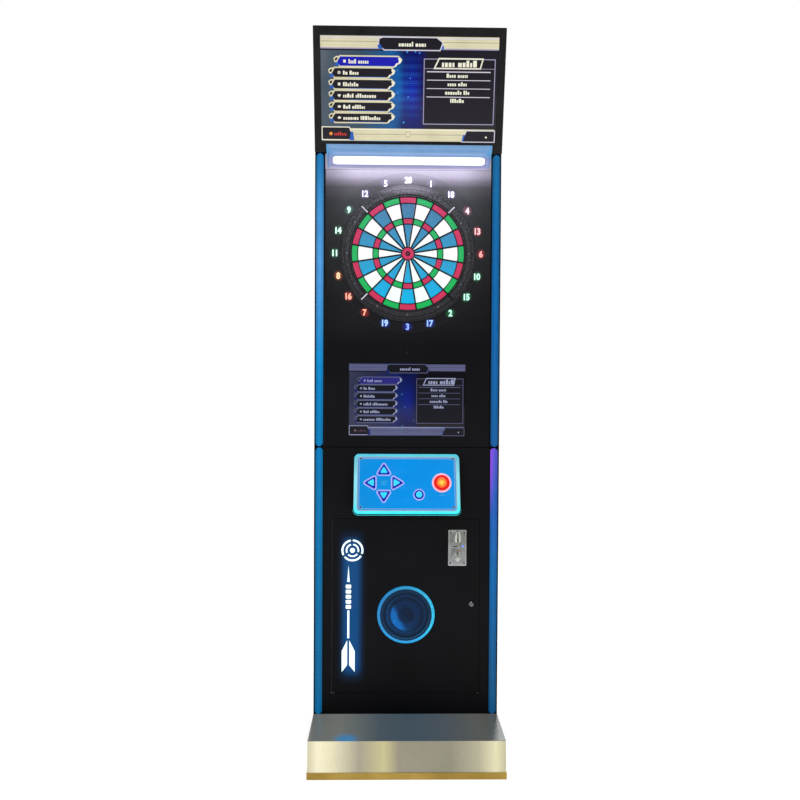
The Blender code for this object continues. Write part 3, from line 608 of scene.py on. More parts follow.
# outlines of a menu button, as shares of its width and height; the shapes lie on its body
PILL_BODY = ((0.10, 0.98), (0.05, 0.62), (0.10, 0.02), (0.96, 0.02), (1.0, 0.30),
             (0.965, 0.62), (0.935, 0.68), (0.90, 0.98))
PILL_SHAPES = (
    ("text", 2, ((0.958, 0.66), (0.975, 0.44), (0.958, 0.16), (0.992, 0.10), (1.014, 0.46),
                 (0.990, 0.70))),
    ("text", 2, ((0.905, 0.96), (0.935, 0.66), (0.960, 0.70), (0.930, 1.02))),
    ("accent", 2, ((0.30, 0.99), (0.30, 0.93), (0.86, 0.93), (0.88, 0.99))),
    ("cream", 2, ((0.015, 0.60), (0.0, 0.20), (0.040, -0.02), (0.095, -0.02), (0.055, 0.60))),
    ("dark", 3, ((0.026, 0.46), (0.020, 0.26), (0.042, 0.14), (0.068, 0.14), (0.045, 0.46))),
    ("accent", 2, ((0.02, 0.96), (0.03, 0.62), (0.07, 0.62), (0.085, 0.98))))


class Menu:
    """The game menu on a screen: thin closed shapes in layers.

    Places on the screen are u from the left and v from the top, both from 0 to 1.
    """
    LAYER = 0.00024

    def __init__(self, piece, place, centre, size, face, colours, band=(0.004, 0.112)):
        self.piece = piece
        self.frame = place
        self.centre = centre
        self.size = size
        self.face = face
        self.scale = size[1] / SCREEN_HIGH[1]
        self.band = band            # top bar's upper and lower edge
        self.random = random.Random(7)
        self.inks = {key: ink(f"{piece.name}_{key}", rgb(*colour))
                     for key, colour in colours.items()}

    def spot(self, u, v):
        return (self.centre[0] + (u - 0.5) * self.size[0],
                self.centre[1] + (0.5 - v) * self.size[1])

    def lay(self, outlines, colour, layer):
        low = self.face + layer * self.LAYER
        self.piece.add(flat(outlines, low, low + self.LAYER * 0.9), self.inks[colour],
                       self.frame)

    def shape(self, points, colour, layer):
        self.lay([[self.spot(u, v) for u, v in points]], colour, layer)

    def bar(self, left, top, right, bottom, colour, layer):
        self.shape([(left, bottom), (right, bottom), (right, top), (left, top)], colour, layer)

    def outlined(self, points, width, edge, fill, layer):
        """A filled shape with an edge of the given width; points run anticlockwise."""
        outer = [self.spot(u, v) for u, v in points]
        inner = inset(outer, width)
        self.lay([outer, inner], edge, layer + 1)
        self.lay([inset(outer, width * 0.5)], fill, layer)

    def words(self, left, v, height, lengths, colour="text", layer=3):
        """Unreadable words: rows of small blocks of uneven width and height."""
        step = height * 0.56 * self.size[1] / self.size[0]
        u = left
        for length in lengths:
            for _ in range(length):
                wide = step * self.random.choice((0.55, 0.75, 0.75, 1.0))
                tall = height * self.random.choice((0.62, 0.62, 0.66, 0.95))
                rise = v + height * 0.5
                self.bar(u, rise - tall, u + wide, rise, colour, layer)
                u += wide + step * 0.26
            u += step * 0.7
        return u

    def width_of(self, height, lengths):
        step = height * 0.56 * self.size[1] / self.size[0]
        return step * (sum(lengths) * 1.02 + 0.7 * (len(lengths) - 1))

    def disc(self, u, v, radius, colour, layer):
        x, y = self.spot(u, v)
        self.lay([circle(x, y, radius * self.size[1], 20)], colour, layer)

    def pill(self, top, bottom, left, right, fill, icon, lengths):
        wide = right - left
        tall = bottom - top

        def at_pill(points):
            return [(left + x * wide, top + y * tall) for x, y in points]

        self.outlined(at_pill(PILL_BODY), 0.0042 * self.scale, "cream", fill, 0)
        for colour, layer, points in PILL_SHAPES:
            self.shape(at_pill(points), colour, layer)
        middle_v = top + tall * 0.5
        self.icon(icon, left + wide * 0.165, middle_v)
        self.words(left + wide * 0.225, middle_v, tall * 0.46, lengths)

    def icon(self, kind, u, v):
        if kind == "disc":
            self.disc(u, v, 0.0145, "text", 2)
            self.disc(u, v, 0.0060, "dark", 3)
        elif kind == "square":
            self.bar(u - 0.007, v - 0.013, u + 0.007, v + 0.013, "text", 2)
        elif kind == "drop":
            self.disc(u - 0.0035, v - 0.003, 0.0090, "text", 2)
            self.disc(u + 0.0035, v - 0.003, 0.0090, "text", 3)
            self.shape([(u, v + 0.018), (u + 0.008, v), (u - 0.008, v)], "text", 2)
        else:
            self.bar(u - 0.009, v - 0.008, u + 0.009, v + 0.008, "text", 2)
            self.bar(u - 0.003, v - 0.013, u + 0.003, v + 0.012, "text", 3)

    def draw(self):
        self.draw_top_bar()
        self.draw_buttons()
        self.draw_table()
        self.draw_bottom_bar()

    def draw_top_bar(self):
        start, end = self.band
        self.bar(0.0, start, 1.0, end, "cream", 0)
        self.bar(0.006, 0.016, 0.994, 0.026, "pearl", 1)
        self.bar(0.006, 0.052, 0.994, 0.058, "shade", 1)
        self.bar(0.0, end, 1.0, end + 0.012, "line", 0)
        self.bar(0.0, end + 0.012, 1.0, end + 0.026, "dark", 0)
        tab = [(0.358, 0.126), (0.327, 0.086), (0.330, 0.030), (0.350, 0.018),
               (0.650, 0.018), (0.682, 0.060), (0.668, 0.126)]
        self.outlined(tab, 0.0036 * self.scale, "pearl", "dark", 2)
        self.shape([(0.326, 0.122), (0.318, 0.088), (0.334, 0.078), (0.350, 0.122)],
                   "accent", 4)
        self.shape([(0.676, 0.122), (0.684, 0.082), (0.692, 0.096), (0.690, 0.122)],
                   "accent", 4)
        self.words(0.438, 0.075, 0.045, (6, 4), layer=4)

    def draw_buttons(self):
        pills = [(0.194, 0.284, 0.072, 0.450, "royal", "square", (4, 5)),
                 (0.302, 0.388, 0.042, 0.412, "dark", "disc", (2, 4)),
                 (0.410, 0.496, 0.042, 0.412, "dark", "square", (7,)),
                 (0.517, 0.604, 0.042, 0.412, "dark", "drop", (5, 9)),
                 (0.624, 0.708, 0.042, 0.412, "dark", "box", (3, 6)),
                 (0.730, 0.814, 0.042, 0.412, "dark", "box", (7, 9))]
        for pill in pills:
            self.pill(*pill)

    def draw_table(self):
        left, right, top, bottom = 0.580, 0.984, 0.206, 0.828
        table = [(left, bottom), (right, bottom), (right, top), (left, top)]
        self.outlined(table, 0.0026 * self.scale, "line", "dark", 0)
        plate = [(0.646, 0.290), (0.668, 0.212), (0.908, 0.212), (0.896, 0.290)]
        self.outlined(plate, 0.0045 * self.scale, "text", "dark", 1)
        self.words(0.682, 0.250, 0.066, (4, 5), "text", 3)
        self.bar(left, 0.296, right, 0.300, "line", 2)
        for row, weight in ((0.323, 0.010), (0.403, 0.007), (0.482, 0.007), (0.561, 0.008)):
            self.bar(left + 0.018, row, right - 0.026, row + weight, "pearl", 2)
        for row, lengths in ((0.362, (4, 5)), (0.441, (4, 4)), (0.521, (7, 3)), (0.598, (6,))):
            wide = self.width_of(0.040, lengths)
            self.words(0.772 - wide / 2, row, 0.040, lengths)

    def draw_bottom_bar(self):
        self.bar(0.010, 0.872, 0.990, 0.992, "cream", 0)
        self.bar(0.176, 0.880, 0.820, 0.888, "text", 1)
        self.bar(0.176, 0.926, 0.820, 0.932, "shade", 1)
        self.disc(0.495, 0.926, 0.030, "shade", 1)
        self.disc(0.495, 0.926, 0.024, "cream", 2)
        badge = [(0.006, 0.980), (0.006, 0.866), (0.158, 0.866), (0.182, 0.980)]
        self.outlined(badge, 0.0030 * self.scale, "text", "dark", 2)
        self.disc(0.054, 0.926, 0.017, "orange", 4)
        self.words(0.072, 0.926, 0.034, (7,), "red", 4)
        corner = [(0.808, 0.990), (0.832, 0.890), (0.990, 0.890), (0.990, 0.990)]
        self.outlined(corner, 0.0030 * self.scale, "pearl", "dark", 2)
        self.disc(0.944, 0.948, 0.010, "text", 4)
        self.shape([(0.160, 0.988), (0.168, 0.905), (0.180, 0.905), (0.188, 0.988)],
                   "accent", 4)
        self.shape([(0.804, 0.988), (0.812, 0.925), (0.822, 0.925), (0.814, 0.988)],
                   "accent", 4)


UPPER_TONES = [rgb(*tone) for tone in (
    (74, 86, 98), (54, 74, 92), (20, 86, 140), (18, 92, 168), (12, 48, 148), (10, 36, 164),
    (16, 18, 88), (27, 24, 36), (29, 27, 36))]
UPPER_INKS = {"cream": (222, 215, 180), "pearl": (214, 208, 222), "shade": (168, 160, 138),
              "dark": (23, 19, 30), "royal": (22, 20, 172), "accent": (40, 96, 190),
              "text": (244, 240, 218), "orange": (236, 146, 58), "red": (204, 54, 48),
              "line": (170, 162, 194)}
LOWER_TONES = [rgb(*tone) for tone in (
    (46, 50, 76), (36, 40, 68), (14, 26, 82), (10, 28, 102), (6, 24, 114), (4, 18, 118),
    (6, 12, 64), (2, 2, 12), (2, 2, 10))]
LOWER_INKS = {"cream": (88, 92, 128), "pearl": (84, 86, 120), "shade": (64, 66, 96),
              "dark": (8, 8, 22), "royal": (38, 34, 120), "accent": (18, 34, 104),
              "text": (152, 158, 190), "orange": (110, 84, 86), "red": (74, 46, 66),
              "line": (92, 88, 124)}
SCREEN_FACE = 0.0023            # lower screen's glass behind the panel's face
HOUSING_WALL = 0.0033           # upper screen's glass behind the housing's face
SCREEN_HIGH = (0.602, 0.339)
SCREEN_RISE = 0.0034            # upper window's centre above the middle of the slope
SCREEN_LOW = (0.408, 0.255)
MODULE_EDGE = 0.012             # screen module beyond its window


def make_upper_screen():
    low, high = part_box("upper_screen")
    glass = screen_backdrop("upper_screen_image", (low, high), UPPER_TONES, 1.0)
    case = coated("screen_case", (20, 20, 22), (28, 28, 30), 0.5)
    piece = Piece("upper_display_panel", "root", "screen", ["upper_screen"])
    centre = (0, DISPLAY_LENGTH / 2 + SCREEN_RISE)
    edge = 0.010
    width, height = (side + 2 * edge for side in SCREEN_HIGH)
    piece.add(pad(*centre, width - 0.002, height - 0.002, -HOUSING_WALL - 0.002,
                  -HOUSING_WALL, 0, 0.0002), glass, DISPLAY)
    piece.add(pad(*centre, width, height, -0.0198, -HOUSING_WALL - 0.0021, 0.004, 0.001),
              case, DISPLAY)
    Menu(piece, DISPLAY, centre, SCREEN_HIGH, -HOUSING_WALL, UPPER_INKS).draw()
    piece.finish()


def make_lower_screen():
    node_low, node_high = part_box("lower_screen")
    centre = middle("lower_screen")
    glass = screen_backdrop("lower_screen_image", (node_low, node_high), LOWER_TONES, 0.3)
    case = coated("monitor_case", (120, 122, 126), (140, 142, 146), 0.4, specular=0.5)
    board = coated("monitor_board", (18, 66, 40), (24, 82, 48), 0.45)
    plug = coated("monitor_socket", (24, 24, 26), (34, 34, 36), 0.5)
    screw = brushed("monitor_screw", (170, 170, 172), (140, 140, 142), 'X')
    piece = Piece("lower_monitor", "target_door", "screen", ["lower_screen"])
    spot = (centre.x, centre.z)
    width, height = (side + 2 * MODULE_EDGE for side in SCREEN_LOW)
    piece.add(pad(*spot, width - 0.001, height - 0.001, -SCREEN_FACE - 0.0015, -SCREEN_FACE,
                  0, 0.0002), glass, FRONTAL)
    piece.add(pad(*spot, width, height, -0.0125, -SCREEN_FACE - 0.0016, 0.004, 0.0010), case,
              FRONTAL)
    piece.add(pad(spot[0] + 0.05, spot[1], 0.190, 0.120, -0.0148, -0.0124, 0.004, 0.0003),
              board, FRONTAL)
    for x in range(4):
        piece.add(pad(spot[0] + 0.005 + x * 0.035, spot[1] - 0.052, 0.024, 0.012, -0.0178,
                      -0.0147, 0, 0.0004), plug, FRONTAL)
    for x, y, size in ((0.02, 0.03, 0.030), (0.08, 0.02, 0.022), (0.10, -0.02, 0.016)):
        piece.add(pad(spot[0] + x, spot[1] + y, size, size, -0.0166, -0.0147, 0.001, 0.0003),
                  plug, FRONTAL)
    corner_screws(piece, screw, FRONTAL @ at(*spot, -0.0124) @ about('Y', 180),
                  (width * 0.46, height * 0.45), 0.0032)
    Menu(piece, FRONTAL, spot, SCREEN_LOW, -SCREEN_FACE, LOWER_INKS, (0.012, 0.092)).draw()
    piece.finish()


# ------------------------------------------------------------------ display housing
def make_housing():
    gloss = Look("housing_gloss", specular_ior_level=0.25)
    orange_peel = gloss.noise(260, 2)
    dust = gloss.noise(11, 5)
    gloss.set(base_color=gloss.tones(dust, (0.3, 20, 19, 21), (0.75, 29, 27, 30)),
              roughness=gloss.remap(dust, 0.3, 0.7, 0.26, 0.38))
    gloss.bump(orange_peel, 0.00006)
    dress(gloss, "display_housing")
    dress(panel_coat("rear_cover_coat"), "display_rear_cover")

    dark = coated("display_fittings", (20, 20, 22), (30, 30, 32), 0.45)
    zinc = brushed("display_screws", (176, 176, 178), (140, 140, 144), 'X')
    depth = HOUSING_DEPTH * math.cos(DISPLAY_TILT)
    inside = DISPLAY_LENGTH / 2
    half = HOUSING_HIGH.x
    lift = -HOUSING_DEPTH * math.sin(DISPLAY_TILT)      # the rear's foot along the slope
    rear = DISPLAY @ at(0, lift, -depth) @ about('Y', 180)
    back_plate = Piece("display_rear_fittings", "root", "black_plastic")
    recess = 0.0005
    for x in (-0.40, 0.0, 0.40):
        for y in (0.05, 0.95):
            place = rear @ at(x * half * 2 * 0.93, y * DISPLAY_LENGTH, -recess)
            add_screw(back_plate, zinc, place, 0.0034)
    louvres = 9
    for side in (-1, 1):
        for row in range(louvres):
            y = inside - 0.085 + row * 0.0125
            place = rear @ at(side * 0.150, y, -recess)
            fin = wire([(-0.085, 0, 0), (0.085, 0, 0)], 0.0016, 1)
            back_plate.add(fin, dark, place)
    back_plate.add(flat([centred(0, inside + 0.02, 0.100, 0.100, 0.006),
                         circle(0, inside + 0.02, 0.012, 24)], -recess, 0.0012, 0.0005), dark,
                   rear)
    corner_screws(back_plate, zinc, rear @ at(0, inside + 0.02, 0.0011), (0.0375, 0.0375),
                  0.0030, 0.0012)
    back_plate.finish()


# ------------------------------------------------------------------ hood and tube
def hood_enamel():
    """Enamel that glows inside the hood, as the tube lights it, and not outside."""
    low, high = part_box("light_hood")
    enamel = Look("hood_enamel", specular_ior_level=0.3)
    smear = enamel.noise(16, 3)
    ridge = enamel.noise(500, 2)
    rise = enamel.remap(enamel.along('Z'), low.z, high.z)
    # painted shade: the hood's inner end walls are painted a deeper blue
    ends = enamel.remap(enamel.calc('ABSOLUTE', enamel.along('X')), 0.266, 0.277)
    # painted light: the enamel is paler low down, near the tube, and bluer towards the top
    shade = enamel.tones(rise, (0.0, 150, 178, 226), (0.55, 136, 170, 214), (1.0, 112, 156, 202))
    bright = enamel.mix(ends, shade, rgb(88, 156, 206))
    # painted light: the back wall is painted lavender near the tube, fading to blue higher up
    behind = enamel.remap(enamel.along('Y'), high.y - 0.0060, high.y - 0.0032)
    back_wall_tube_light = enamel.tones(rise, (0.0, 190, 182, 214), (0.14, 160, 156, 194),
                             (0.30, 146, 156, 204), (0.75, 134, 162, 208))
    bright = enamel.mix(behind, bright, back_wall_tube_light)
    roof = enamel.remap(enamel.along('Z'), high.z - 0.0015, high.z - 0.0003)
    flank = enamel.remap(enamel.calc('ABSOLUTE', enamel.along('X')),
                         high.x - 0.0015, high.x - 0.0003)
    outside = enamel.calc('MAXIMUM', roof, flank)
    enamel.set(base_color=enamel.scaled(bright, enamel.remap(outside, 0, 1, 0.10, 0.45)),
               roughness=enamel.remap(smear, 0.3, 0.7, 0.35, 0.5))
    enamel.bump(ridge, 0.00005)
    lamp_lit = enamel.times(enamel.remap(smear, 0.3, 0.7, 0.84, 0.96),
                            enamel.remap(outside, 0, 1, 1, 0))
    return enamel.glow(enamel.scaled(bright, lamp_lit))


def make_hood():
    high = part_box("light_hood")[1]
    enamel = hood_enamel()
    dress(enamel, "light_hood")

    tube_low, tube_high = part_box("light_tube")
    centre = (tube_low + tube_high) / 2
    radius = (tube_high.z - tube_low.z) / 2
    half = tube_high.x
    cap = 0.014
    glass = lit("tube_glass", (1.0, 0.985, 1.0, 1), 1.5, 0.03, 30)
    # painted light: the tube's metal caps and the lampholders glow as the tube lights them; neither
    # is a lamp
    metal = lit("tube_caps", rgb(146, 150, 192), 0.8, 0.06, 60)
    holder = lit("lampholder_plastic", rgb(104, 132, 180), 0.75, 0.06, 60)
    level = at(*centre) @ about('Y', 90)
    piece = Piece("lit_tube", "root", "tube_white", ["light_tube"])
    bulb = [(0, half - cap), (radius * 0.55, half - cap), (radius * 0.86, half - cap - 0.003),
            (radius, half - cap - 0.012), (radius, cap + 0.012 - half),
            (radius * 0.86, cap + 0.003 - half), (radius * 0.55, cap - half), (0, cap - half)]
    piece.add(turned(bulb, 32), glass, level)
    for side in (-1, 1):
        inner = side * (half - cap + 0.0002)
        outer = side * half
        profile = [(0, inner), (radius * 0.93, inner), (radius * 0.97, inner + side * 0.002),
                   (radius * 0.97, outer - side * 0.002), (radius * 0.90, outer), (0, outer)]
        piece.add(turned(profile, 32), metal, level)
    piece.finish()

    gear = Piece("hood_fittings", "root", "tube_white")
    wall = 0.0025
    for side in (-1, 1):
        face = side * (half + 0.0006)
        wall_x = side * (high.x - wall - 0.0004)
        body = block((min(face, wall_x), centre.y - 0.011, centre.z - 0.010),
                     (max(face, wall_x), centre.y + 0.011, centre.z + 0.026), 0.0015)
        gear.add(body, holder)
    spine_low = (-half * 0.96, centre.y - 0.012, high.z - wall - 0.0125)
    spine_high = (half * 0.96, centre.y + 0.012, high.z - wall - 0.0004)
    gear.add(block(spine_low, spine_high, 0.003), enamel)
    gear.finish()


# ------------------------------------------------------------------ light pipes
def pipe_look(name, side, level):
    """Blue light pipe: brighter along its middle, with slow changes along its height."""
    look = Look(name, roughness=0.28, specular_ior_level=0.12)
    low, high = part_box(f"led_strip_{level}_{side}")
    z = look.remap(look.along('Z'), low.z, high.z)
    if (side, level) == ("left", "upper"):
        hue = look.tones(z, (0.0, 4, 122, 184), (0.30, 18, 140, 208), (0.62, 84, 158, 226),
                         (0.80, 70, 150, 214), (1.0, 28, 120, 182))
    elif (side, level) == ("left", "lower"):
        hue = look.tones(z, (0.0, 6, 100, 150), (0.50, 2, 112, 166), (1.0, 6, 122, 184))
    elif (side, level) == ("right", "upper"):
        hue = look.tones(z, (0.0, 24, 96, 162), (0.50, 20, 104, 172), (1.0, 28, 108, 162))
    else:
        hue = look.tones(z, (0.0, 16, 80, 124), (0.55, 14, 104, 172), (0.82, 40, 96, 190),
                         (1.0, 92, 84, 214))
    across = look.off('X', (low.x + high.x) / 2)
    half = (high.x - low.x) / 2
    centre = look.remap(look.calc('ABSOLUTE', across), 0.0, half, 1.12, 0.72)
    beads = look.wave(look.along('Z'), 0.0166)
    beads = look.remap(beads, -1, 1, 0.975, 1.025)
    patch = look.remap(look.noise(24, 2), 0.3, 0.7, 0.94, 1.06)
    light = look.times(centre, beads, patch)
    shown = look.scaled(hue, light)
    if (side, level) == ("right", "lower"):
        violet = look.times(look.remap(across, half * 0.1, -half * 0.9),
                            look.remap(z, 0.72, 0.97, smooth=True))
        shown = look.mix(violet, shown, rgb(146, 84, 238))
    look.set(base_color=look.scaled(shown, 0.04))
    look.bump(look.noise(700, 2), 0.00003)
    return look.glow(shown, 0.93)


def make_light_pipes():
    for side in ("left", "right"):
        for level in ("upper", "lower"):
            dress(pipe_look(f"light_pipe_{level}_{side}", side, level),
                  f"led_strip_{level}_{side}")


# ------------------------------------------------------------------ target
SECTORS = 20
GAP = 0.0003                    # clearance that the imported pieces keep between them
SPIDER_RADIAL = 0.0050          # width of the lattice's radial bars
SPIDER_ROUND = 0.0030           # width of its round bars
RING_NODES = ("inner_single_segments", "treble_segments", "outer_single_segments",
              "double_segments")
RING_BODIES = ("inner_single_ring", "treble_ring", "outer_single_ring", "double_ring")
RING_EDGES = [radius_of(node) + GAP for node in ("outer_bull",) + RING_NODES]
SPIDER_EDGE = 0.0020            # width of the lattice outside the doubles
CATCH_INSIDE = RING_EDGES[-1] + SPIDER_EDGE + GAP
TARGET_BACK = -0.0130           # rear of the moulded pieces, behind the target's face
# number, its halo and its face, clockwise from the top
DIAL = (("20", (108, 102, 130), (255, 250, 255)), ("1", (96, 90, 124), (244, 236, 255)),
        ("18", (92, 86, 160), (246, 240, 255)), ("4", (150, 92, 112), (255, 222, 232)),
        ("13", (176, 66, 76), (255, 190, 198)), ("6", (150, 40, 44), (255, 166, 160)),
        ("10", (46, 130, 84), (196, 255, 230)), ("15", (50, 150, 92), (196, 255, 232)),
        ("2", (24, 116, 62), (190, 255, 226)), ("17", (30, 52, 170), (150, 186, 255)),
        ("3", (26, 40, 158), (140, 172, 255)), ("19", (44, 74, 186), (166, 200, 255)),
        ("7", (150, 40, 30), (255, 168, 140)), ("16", (186, 68, 48), (255, 172, 150)),
        ("8", (160, 84, 48), (255, 206, 164)), ("11", (60, 120, 92), (210, 255, 232)),
        ("14", (66, 118, 92), (216, 255, 236)), ("9", (70, 124, 104), (206, 250, 236)),
        ("12", (88, 80, 162), (240, 232, 255)), ("5", (98, 92, 136), (246, 238, 255)))
DIAL_RADIUS = 0.2555


def cell(inner, outer, sector, clear_round, clear_radial, steps=6):
    """Outline of one scoring cell round the bull, kept clear of the lattice."""
    pitch = 360 / SECTORS
    turn = 90 - sector * pitch
    low = inner + clear_round
    high = outer - clear_round
    low_turn = pitch / 2 - math.degrees(clear_radial / low)
    high_turn = pitch / 2 - math.degrees(clear_radial / high)
    return (arc(0, 0, high, turn - high_turn, turn + high_turn, steps)
            + arc(0, 0, low, turn + low_turn, turn - low_turn, steps))


def polar(look):
    """Distance from the bull and the angle round it, as a fraction of a turn."""
    x = look.along('X')
    z = look.off('Z', BULL.z)
    return look.hypotenuse(x, z), look.turn_of(x, z)


def segment_look(name, top, bottom, painted_glow):
    """Moulded segment with tip holes and a painted glow; painted shade in the holes and at the top.
    """
    look = Look(name, specular_ior_level=0.2)
    radius, turn = polar(look)
    rows = look.times(radius, 1 / 0.0041)
    columns = look.times(turn, SECTORS * 12)
    grid = look.node("CombineXYZ", [rows, columns, 0.0]).outputs[0]
    holes = look.cells(1.0, grid, randomness=0.0)
    hole = look.remap(holes, 0.20, 0.30, 1.0, 0.0)
    height = look.remap(look.along('Z'), BULL.z - RING_EDGES[-1], BULL.z + RING_EDGES[-1])
    # painted shade and glare: the colour greys and darkens towards the board's top
    shade = look.ramp(height, (0.05, bottom), (0.95, top))
    scuff = look.remap(look.noise(60, 4), 0.35, 0.75, 1.0, 0.90)
    # painted shade in the tip holes
    tone = look.times(scuff, look.remap(hole, 0, 1, 1.0, 0.72))
    colour = look.scaled(shade, tone)
    look.set(base_color=look.scaled(colour, 0.35),
             roughness=look.remap(scuff, 0.9, 1.0, 0.60, 0.42))
    look.bump(look.calc('SUBTRACT', 1.0, hole), 0.0004, 0.8)
    return look.glow(colour, painted_glow)


def make_segments():
    looks = {"white": segment_look("segment_white", rgb(250, 244, 255), rgb(238, 255, 246),
                                   0.92),
             "blue": segment_look("segment_blue", rgb(78, 124, 164), rgb(0, 184, 236), 0.80),
             "pink": segment_look("segment_pink", rgb(206, 66, 108), rgb(212, 52, 92), 0.78),
             "green": segment_look("segment_green", rgb(56, 184, 110), rgb(24, 186, 92),
                                   0.78)}
    colours = (("blue", "white"), ("pink", "green"), ("blue", "white"), ("pink", "green"))
    slots = ("segment_white", "segment_green", "segment_blue", "segment_pink")
    rings = zip(RING_NODES, RING_BODIES, RING_EDGES, RING_EDGES[1:], colours, slots)
    for node, body, inner, outer, pair, slot in rings:
        piece = Piece(node.replace("_segments", "_ring"), body, slot, [node])
        for sector in range(SECTORS):
            outline = cell(inner, outer, sector, SPIDER_ROUND / 2 + GAP,
                           SPIDER_RADIAL / 2 + GAP)
            piece.add(flat([outline], -0.0110, 0.0, 0.0007), looks[pair[sector % 2]],
                      TARGET)
        backing = [circle(0, 0, outer - GAP, 80), circle(0, 0, inner + GAP, 80)]
        piece.add(flat(backing, TARGET_BACK, -0.0108), looks[pair[1]], TARGET)
        piece.finish()
    make_bulls(looks["pink"])


def make_bulls(pink):
    depth = TARGET_BACK
    centre = radius_of("inner_bull")
    edge = RING_EDGES[0] - SPIDER_ROUND / 2 - GAP
    bull = Piece("outer_bull_ring", "outer_bull", "segment_pink", ["outer_bull"])
    section = [(edge, -0.0008), (edge, -0.0095), (RING_EDGES[0] - GAP, -0.0105),
               (RING_EDGES[0] - GAP, depth), (centre + GAP, depth), (centre + GAP, -0.0006),
               (centre + GAP + 0.0006, 0.0), (edge - 0.0008, 0.0)]
    bull.add(turned(section, 60, ring=True), pink, TARGET)
    bull.finish()
    dark = coated("bull_dark", (38, 14, 24), (58, 20, 34), 0.4, specular=0.5)
    eye = Piece("inner_bull_button", "inner_bull", "bull_dark", ["inner_bull"])
    eye.add(turned([(0, -0.0002), (0.0034, -0.0002), (0.0040, 0.0004), (centre - 0.0008, 0.0003),
                    (centre, -0.0006), (centre, depth), (0, depth)], 40), dark, TARGET)
    eye.add(pad(0, 0, 0.0034, 0.0034, -0.0001, 0.0004, 0.0008, 0.0001), pink, TARGET)
    eye.finish()


def make_spider():
    plastic = coated("spider_plastic", (10, 10, 13), (20, 20, 24), 0.42, 700, specular=0.35)
    piece = Piece("spider_lattice", "target_door", "board_black", ["spider"])
    rounds = SPIDER_ROUND / 2
    radial = SPIDER_RADIAL / 2
    rim = RING_EDGES[-1] + SPIDER_EDGE
    outlines = [circle(0, 0, rim, SECTORS * 8), circle(0, 0, RING_EDGES[0] - rounds, 40)]
    for inner, outer in zip(RING_EDGES, RING_EDGES[1:]):
        outlines += [cell(inner, outer, sector, rounds, radial) for sector in range(SECTORS)]
    piece.add(flat(outlines, -0.0080, 0.0018, 0.0005), plastic, TARGET)
    piece.finish()


def catch_rubber():
    """Black moulding with fine rings; its steps carry painted light and shade as light and dark
    bands.
    """
    rubber = Look("catch_ring_moulding", specular_ior_level=0.3)
    radius, turn = polar(rubber)
    grain = rubber.noise(230, 5)
    lines = rubber.wave(radius, 0.0016)
    ticks = rubber.calc('SINE', rubber.times(turn, math.tau * 360))
    relief = rubber.calc('ADD', rubber.times(lines, 0.35),
                         rubber.calc('ADD', grain, rubber.times(ticks, 0.25)))
    rim_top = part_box("catch_ring")[1].z
    # painted light and shade: light and dark bands across the ring's steps
    tones = [(0.00, 0.30), (0.05, 0.95), (0.09, 0.10), (0.14, 0.12), (0.18, 0.60),
             (0.52, 0.62), (0.555, 0.16), (0.59, 0.55), (0.83, 0.52), (0.86, 0.10),
             (0.90, 0.12), (0.94, 0.90), (0.97, 0.40), (1.00, 0.12)]
    step = rubber.ramp(rubber.remap(radius, CATCH_INSIDE, radius_of("catch_ring")),
                       *[(spot, (tone, tone, tone, 1)) for spot, tone in tones])
    mottle = rubber.tones(grain, (0.40, 6, 6, 8), (0.62, 58, 56, 66))
    rubber.set(base_color=rubber.mix(1.0, mottle, step, 'MULTIPLY'),
               roughness=rubber.remap(grain, 0.3, 0.7, 0.42, 0.68))
    rubber.bump(relief, 0.0003, 0.8)
    spill = rubber.scaled(tube_light(rubber, grain, 1.35),
                          rubber.remap(grain, 0.40, 0.60, 0.45, 1.30))
    crown = rubber.remap(rubber.along('Z'), rim_top - 0.034, rim_top - 0.006)
    glare = rubber.scaled(rgb(176, 166, 188), crown)
    # painted light: a faint even glow, added to the tube's light and the painted highlight on the
    # crown
    faint = rubber.mix(1.0, rubber.mix(1.0, spill, rgb(14, 14, 17), 'ADD'), glare, 'ADD')
    return rubber.glow(rubber.mix(1.0, faint, step, 'MULTIPLY'))


def make_catch_ring():
    rubber = catch_rubber()
    steel = brushed("catch_ring_screws", (206, 204, 214), (150, 150, 160), 'X')
    # painted light: the white clips glow, though they are no lamps
    clip_white = lit("clip_enamel", rgb(226, 222, 236), 0.55, 0.08)
    clip_dark = coated("clip_dark", (14, 14, 17), (24, 24, 28), 0.4)

    inside = CATCH_INSIDE
    rim = radius_of("catch_ring")
    section = [(rim, 0.0010), (rim, TARGET_BACK), (inside, TARGET_BACK), (inside, 0.0022),
               (inside + 0.0008, 0.0030), (inside + 0.0022, 0.0031), (inside + 0.0030, 0.0020),
               (inside + 0.0040, 0.0020), (inside + 0.0052, 0.0052), (inside + 0.0064, 0.0060),
               (inside + 0.0200, 0.0078), (inside + 0.0216, 0.0074), (inside + 0.0222, 0.0052),
               (inside + 0.0234, 0.0052), (inside + 0.0240, 0.0068), (inside + 0.0256, 0.0074),
               (rim - 0.0060, 0.0062), (rim - 0.0052, 0.0048), (rim - 0.0042, 0.0048),
               (rim - 0.0034, 0.0040), (rim - 0.0012, 0.0028)]
    piece = Piece("catch_ring_moulded", "target_door", "catch_rubber", ["catch_ring"])
    piece.add(turned(section, 120, ring=True), rubber, TARGET)
    for index in range(12):
        angle = index * 30
        place = TARGET @ about('Z', angle) @ at(inside + 0.0132, 0, 0.0068)
        add_screw(piece, steel, place, 0.0024, 0.0010)
    for angle in (45, 135, 225, 315):
        look = clip_dark if angle == 315 else clip_white
        place = TARGET @ about('Z', angle)
        piece.add(flat([rectangle(inside - 0.0002, -0.0021, inside + 0.0290, 0.0021, 0.0010)],
                       0.0060, 0.0098, 0.0006), look, place)
        slot = rectangle(inside + 0.0010, -0.0052, inside + 0.0280, -0.0026, 0.0008)
        piece.add(flat([slot], 0.0060, 0.0089, 0.0004), clip_dark, place)
    piece.finish()


